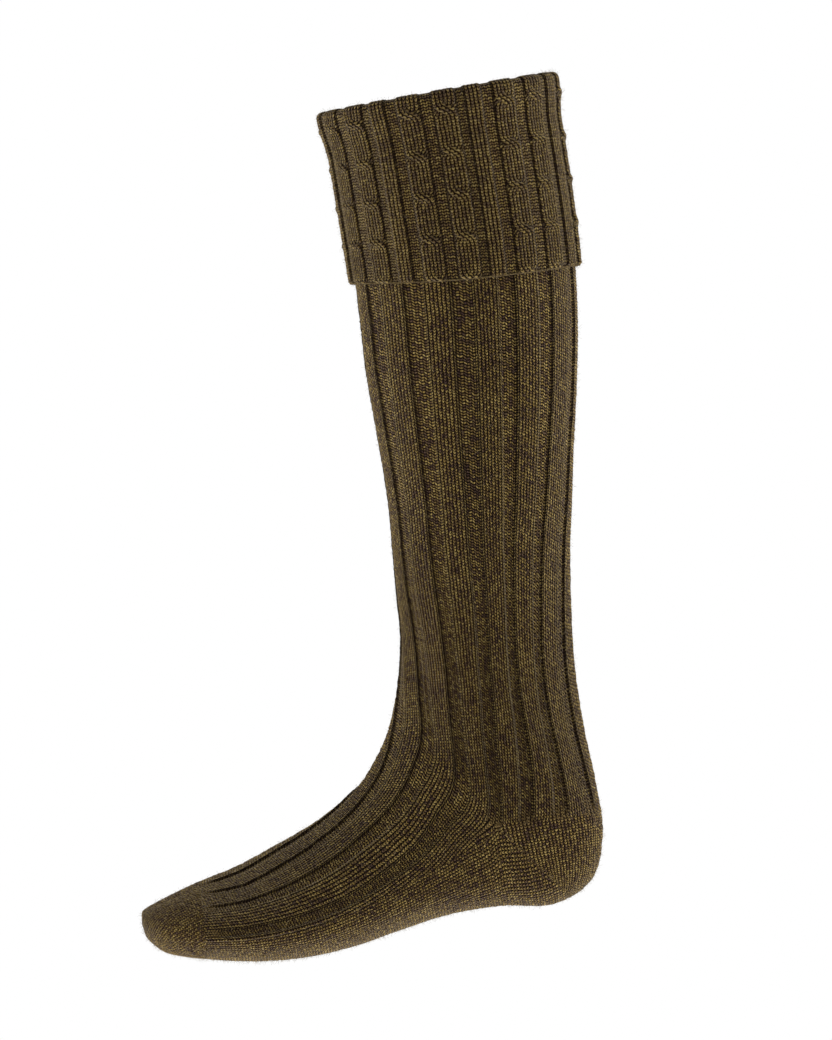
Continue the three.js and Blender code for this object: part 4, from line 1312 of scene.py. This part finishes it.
def even_along(path, normals, pitch, closed=False):
    """Points a pitch apart along a path, with their normals and directions."""
    if closed:
        path, normals = np.vstack([path, path[:1]]), np.vstack([normals, normals[:1]])
    run = run_along(path)
    count = int(run[-1] / pitch)
    at = np.arange(0.5, count) * run[-1] / count
    pick = lambda table, places: np.stack([np.interp(places, run, table[:, a]) for a in range(3)], axis=-1)
    ahead = pick(path, np.minimum(at + 0.5, run[-1])) - pick(path, np.maximum(at - 0.5, 0))
    return pick(path, at), pick(normals, at), ahead / np.linalg.norm(ahead, axis=1, keepdims=True)


def on_skin(skin, x, z, side):
    """Points of the tube's outside at given places in the side view."""
    near = skin.points[:, 1] * side > 2
    table, shade = skin.points[near], skin.normals[near]
    points, normals = [], []
    for a, b in zip(x, z):
        far = (table[:, 0] - a) ** 2 + (table[:, 2] - b) ** 2
        best = np.argsort(far)[:6]
        weight = 1 / (far[best] + 0.05)
        weight /= weight.sum()
        points.append([a, (table[best, 1] * weight).sum(), b])
        normals.append((shade[best] * weight[:, None]).sum(axis=0))
    return np.array(points), np.array(normals)


def gore_places(skin):
    parts = []
    t = np.linspace(0, 1, 60)
    for line in (np.array(HEEL_GORE), np.array(TOE_GORE)):
        x, z = (np.interp(t, np.linspace(0, 1, len(line)), line[:, a]) for a in (0, 1))
        for side in (-1, 1):
            parts.append(even_along(*on_skin(skin, x, z, side), GORE_STITCH))
    points, outward, run = (np.concatenate([p[k] for p in parts]) for k in range(3))
    return points + outward * 0.05, outward, np.cross(outward, run) + STITCH_SLANT * run


def hem_places():
    q = all_round(360)
    heights, outline, sideways = leg_outline(q)
    hem = hem_height(outline[-1, :, 0])
    out = CUFF_CLEARANCE + CUFF_WALL + 0.15
    path, normals = [], []
    for c, low in enumerate(hem):
        xy, side = (np.array([np.interp(low, heights, table[:, c, a]) for a in (0, 1)])
                    for table in (outline, sideways))
        path.append([*(xy + side * out), low + 0.1])
        normals.append([*side, -0.5])
    points, outward, run = even_along(np.array(path), np.array(normals), HEM_STITCH, closed=True)
    return points, outward, run + STITCH_SLANT * outward


def outer_cover(shown):
    """The sock's visible outside as one plain mesh for the fibres to grow from."""
    verts, faces, count = [], [], 0
    for piece, lowest in shown:
        mesh = piece.data
        layer = mesh.uv_layers["kind"].data
        co = np.empty(len(mesh.vertices) * 3)
        mesh.vertices.foreach_get("co", co)
        for p in mesh.polygons:
            if p.center.z < lowest and layer[p.loop_start].uv[0] < 1.5:
                faces.append([v + count for v in p.vertices])
        verts.append(co.reshape(-1, 3))
        count += len(verts[-1])
    mesh = bpy.data.meshes.new("cover")
    mesh.from_pydata(np.vstack(verts).tolist(), [], faces)
    return add_object("cover", mesh)


def build_sock():
    skin = tube_skin()
    outside, inside = bmesh_of(skin), bmesh_of(lining_skin())
    cut_borders(outside)
    cut_borders(inside)
    rib = knit_material("rib_knit_wool", RIB_BUMP)
    plain = knit_material("plain_knit_wool", PLAIN_BUMP)
    cable = knit_material("cable_knit_wool", CABLE_BUMP)
    tube = []
    for number, node_name, material, slot in (
        (LEG, "leg", rib, "rib_knit"), (HEEL, "heel", plain, "plain_knit"),
        (FOOT, "foot", rib, "rib_knit"), (TOE, "toe", plain, "plain_knit"),
    ):
        tube.append(zone_piece(node_name + "_knit", number, outside, inside))
        dress(tube[-1], node_name, material)
    cuff = cuff_piece()
    dress(cuff, "cuff", cable)
    outside.free()
    inside.free()

    yarn = wool_finish("seam_yarn", *SEAM_YARN)
    stitches = edge_stitches_tree(yarn)
    for name, places, sizes, slot in (
        ("gore_stitches", gore_places(skin), GORE_STITCH_SIZES, "plain_knit"),
        ("hem_stitches", hem_places(), HEM_STITCH_SIZES, "cuff_knit"),
    ):
        dress(grow(stitch_carrier(*places), stitches, sizes, name), None, yarn)

    fuzz = wool_finish("fibre_wool", *FIBRE_WOOL)
    lowest_hem = (hem_height(np.array([TABLE[-1, TOP_X]]))[0] - HEEL_SEAT[2]) * MM
    cover = outer_cover([(piece, lowest_hem) for piece in tube] + [(cuff, math.inf)])
    fibres = grow(cover, loose_fibres_tree(fuzz), FIBRE_SIZES, "loose_fibres")
    dress(fibres, None, fuzz)


build_sock()

# Camera, at the photograph's viewing angle, and lights: metres and watts
PHOTO_TILT = math.radians(10)
VIEW_HEIGHT = 0.5907
DISTANCE = 10.0
LOOK_AT = (-0.0377, 0.2255)
SENSOR = 36.0
MIDDLE = (-0.04, 0, 0.22)
LIGHTS = (
    ("key", (-1.3, -2.4, 1.5), (1.6, 1.6), 6.4),
    ("fill", (1.5, -2.2, 0.8), (1.6, 1.6), 3.6),
    ("left_side", (-2.0, -0.1, 0.7), (1.0, 1.6), 28),
    ("right_side", (2.0, -0.1, 0.7), (1.0, 1.6), 28),
)
FLOOR_HEIGHT = -0.75
FLOOR_HALF = 6.0
WORLD_FRONT = 0.22
WORLD_BEHIND = 0.75


def add_camera():
    data = bpy.data.cameras.new("camera")
    data.sensor_width = SENSOR
    data.lens = SENSOR * DISTANCE / VIEW_HEIGHT
    data.clip_start, data.clip_end = 0.5, 60
    camera = add_object("camera", data)
    cos, sin = math.cos(PHOTO_TILT), math.sin(PHOTO_TILT)
    turn = Matrix(((cos, sin, 0), (0, 0, -1), (-sin, cos, 0)))
    camera.matrix_world = Matrix.Translation((LOOK_AT[0], -DISTANCE, LOOK_AT[1])) @ turn.to_4x4()
    scene.camera = camera


def area_light(name, place, size, power):
    data = bpy.data.lights.new(name, "AREA")
    data.shape = "RECTANGLE"
    data.size, data.size_y = size
    data.energy = power
    light = add_object(name, data)
    light.rotation_euler = (Vector(place) - Vector(MIDDLE)).to_track_quat("Z", "Y").to_euler()
    light.location = place


def floor():
    """A plain pale floor, seen from above only, so that it doesn't hide the sole."""
    half, low = FLOOR_HALF, FLOOR_HEIGHT
    mesh = bpy.data.meshes.new("floor")
    corners = [(-half, -half, low), (half, -half, low), (half, half, low), (-half, half, low)]
    mesh.from_pydata(corners, [], [(0, 1, 2, 3)])
    material, tree = new_material("pale_floor")
    shader = node(tree, "ShaderNodeBsdfPrincipled", {
        "Base Color": (0.95, 0.95, 0.95), "Roughness": 0.9,
        "Emission Color": (1, 1, 1), "Emission Strength": 0.9,
    })
    facing = tree.nodes.new("ShaderNodeNewGeometry").outputs["Backfacing"]
    clear = tree.nodes.new("ShaderNodeBsdfTransparent").outputs[0]
    mix = node(tree, "ShaderNodeMixShader", {0: facing, 1: shader.outputs[0], 2: clear})
    node(tree, "ShaderNodeOutputMaterial", {0: mix.outputs[0]})
    mesh.materials.append(material)
    obj = add_object("floor", mesh)


def light_scene():
    """Soft white light, stronger from behind for pale edges, and plain white to the camera."""
    world = bpy.data.worlds.new("studio")
    scene.world = world
    world.use_nodes = True
    tree = world.node_tree
    direction = parts_of(tree, tree.nodes.new("ShaderNodeTexCoord").outputs["Generated"])
    behind = ramp_between(tree, direction[1], 0.0, 0.5)
    soft = math_node(tree, "MULTIPLY_ADD", behind, WORLD_BEHIND, WORLD_FRONT)
    seen = tree.nodes.new("ShaderNodeLightPath").outputs["Is Camera Ray"]
    background = tree.nodes["Background"]
    feed(tree, background.inputs[0], (1, 1, 1))
    feed(tree, background.inputs[1], math_node(tree, "MAXIMUM", soft, seen))
    for light in LIGHTS:
        area_light(*light)
    scene.view_settings.view_transform = "Standard"
    scene.view_settings.look = "None"


add_camera()
floor()
light_scene()

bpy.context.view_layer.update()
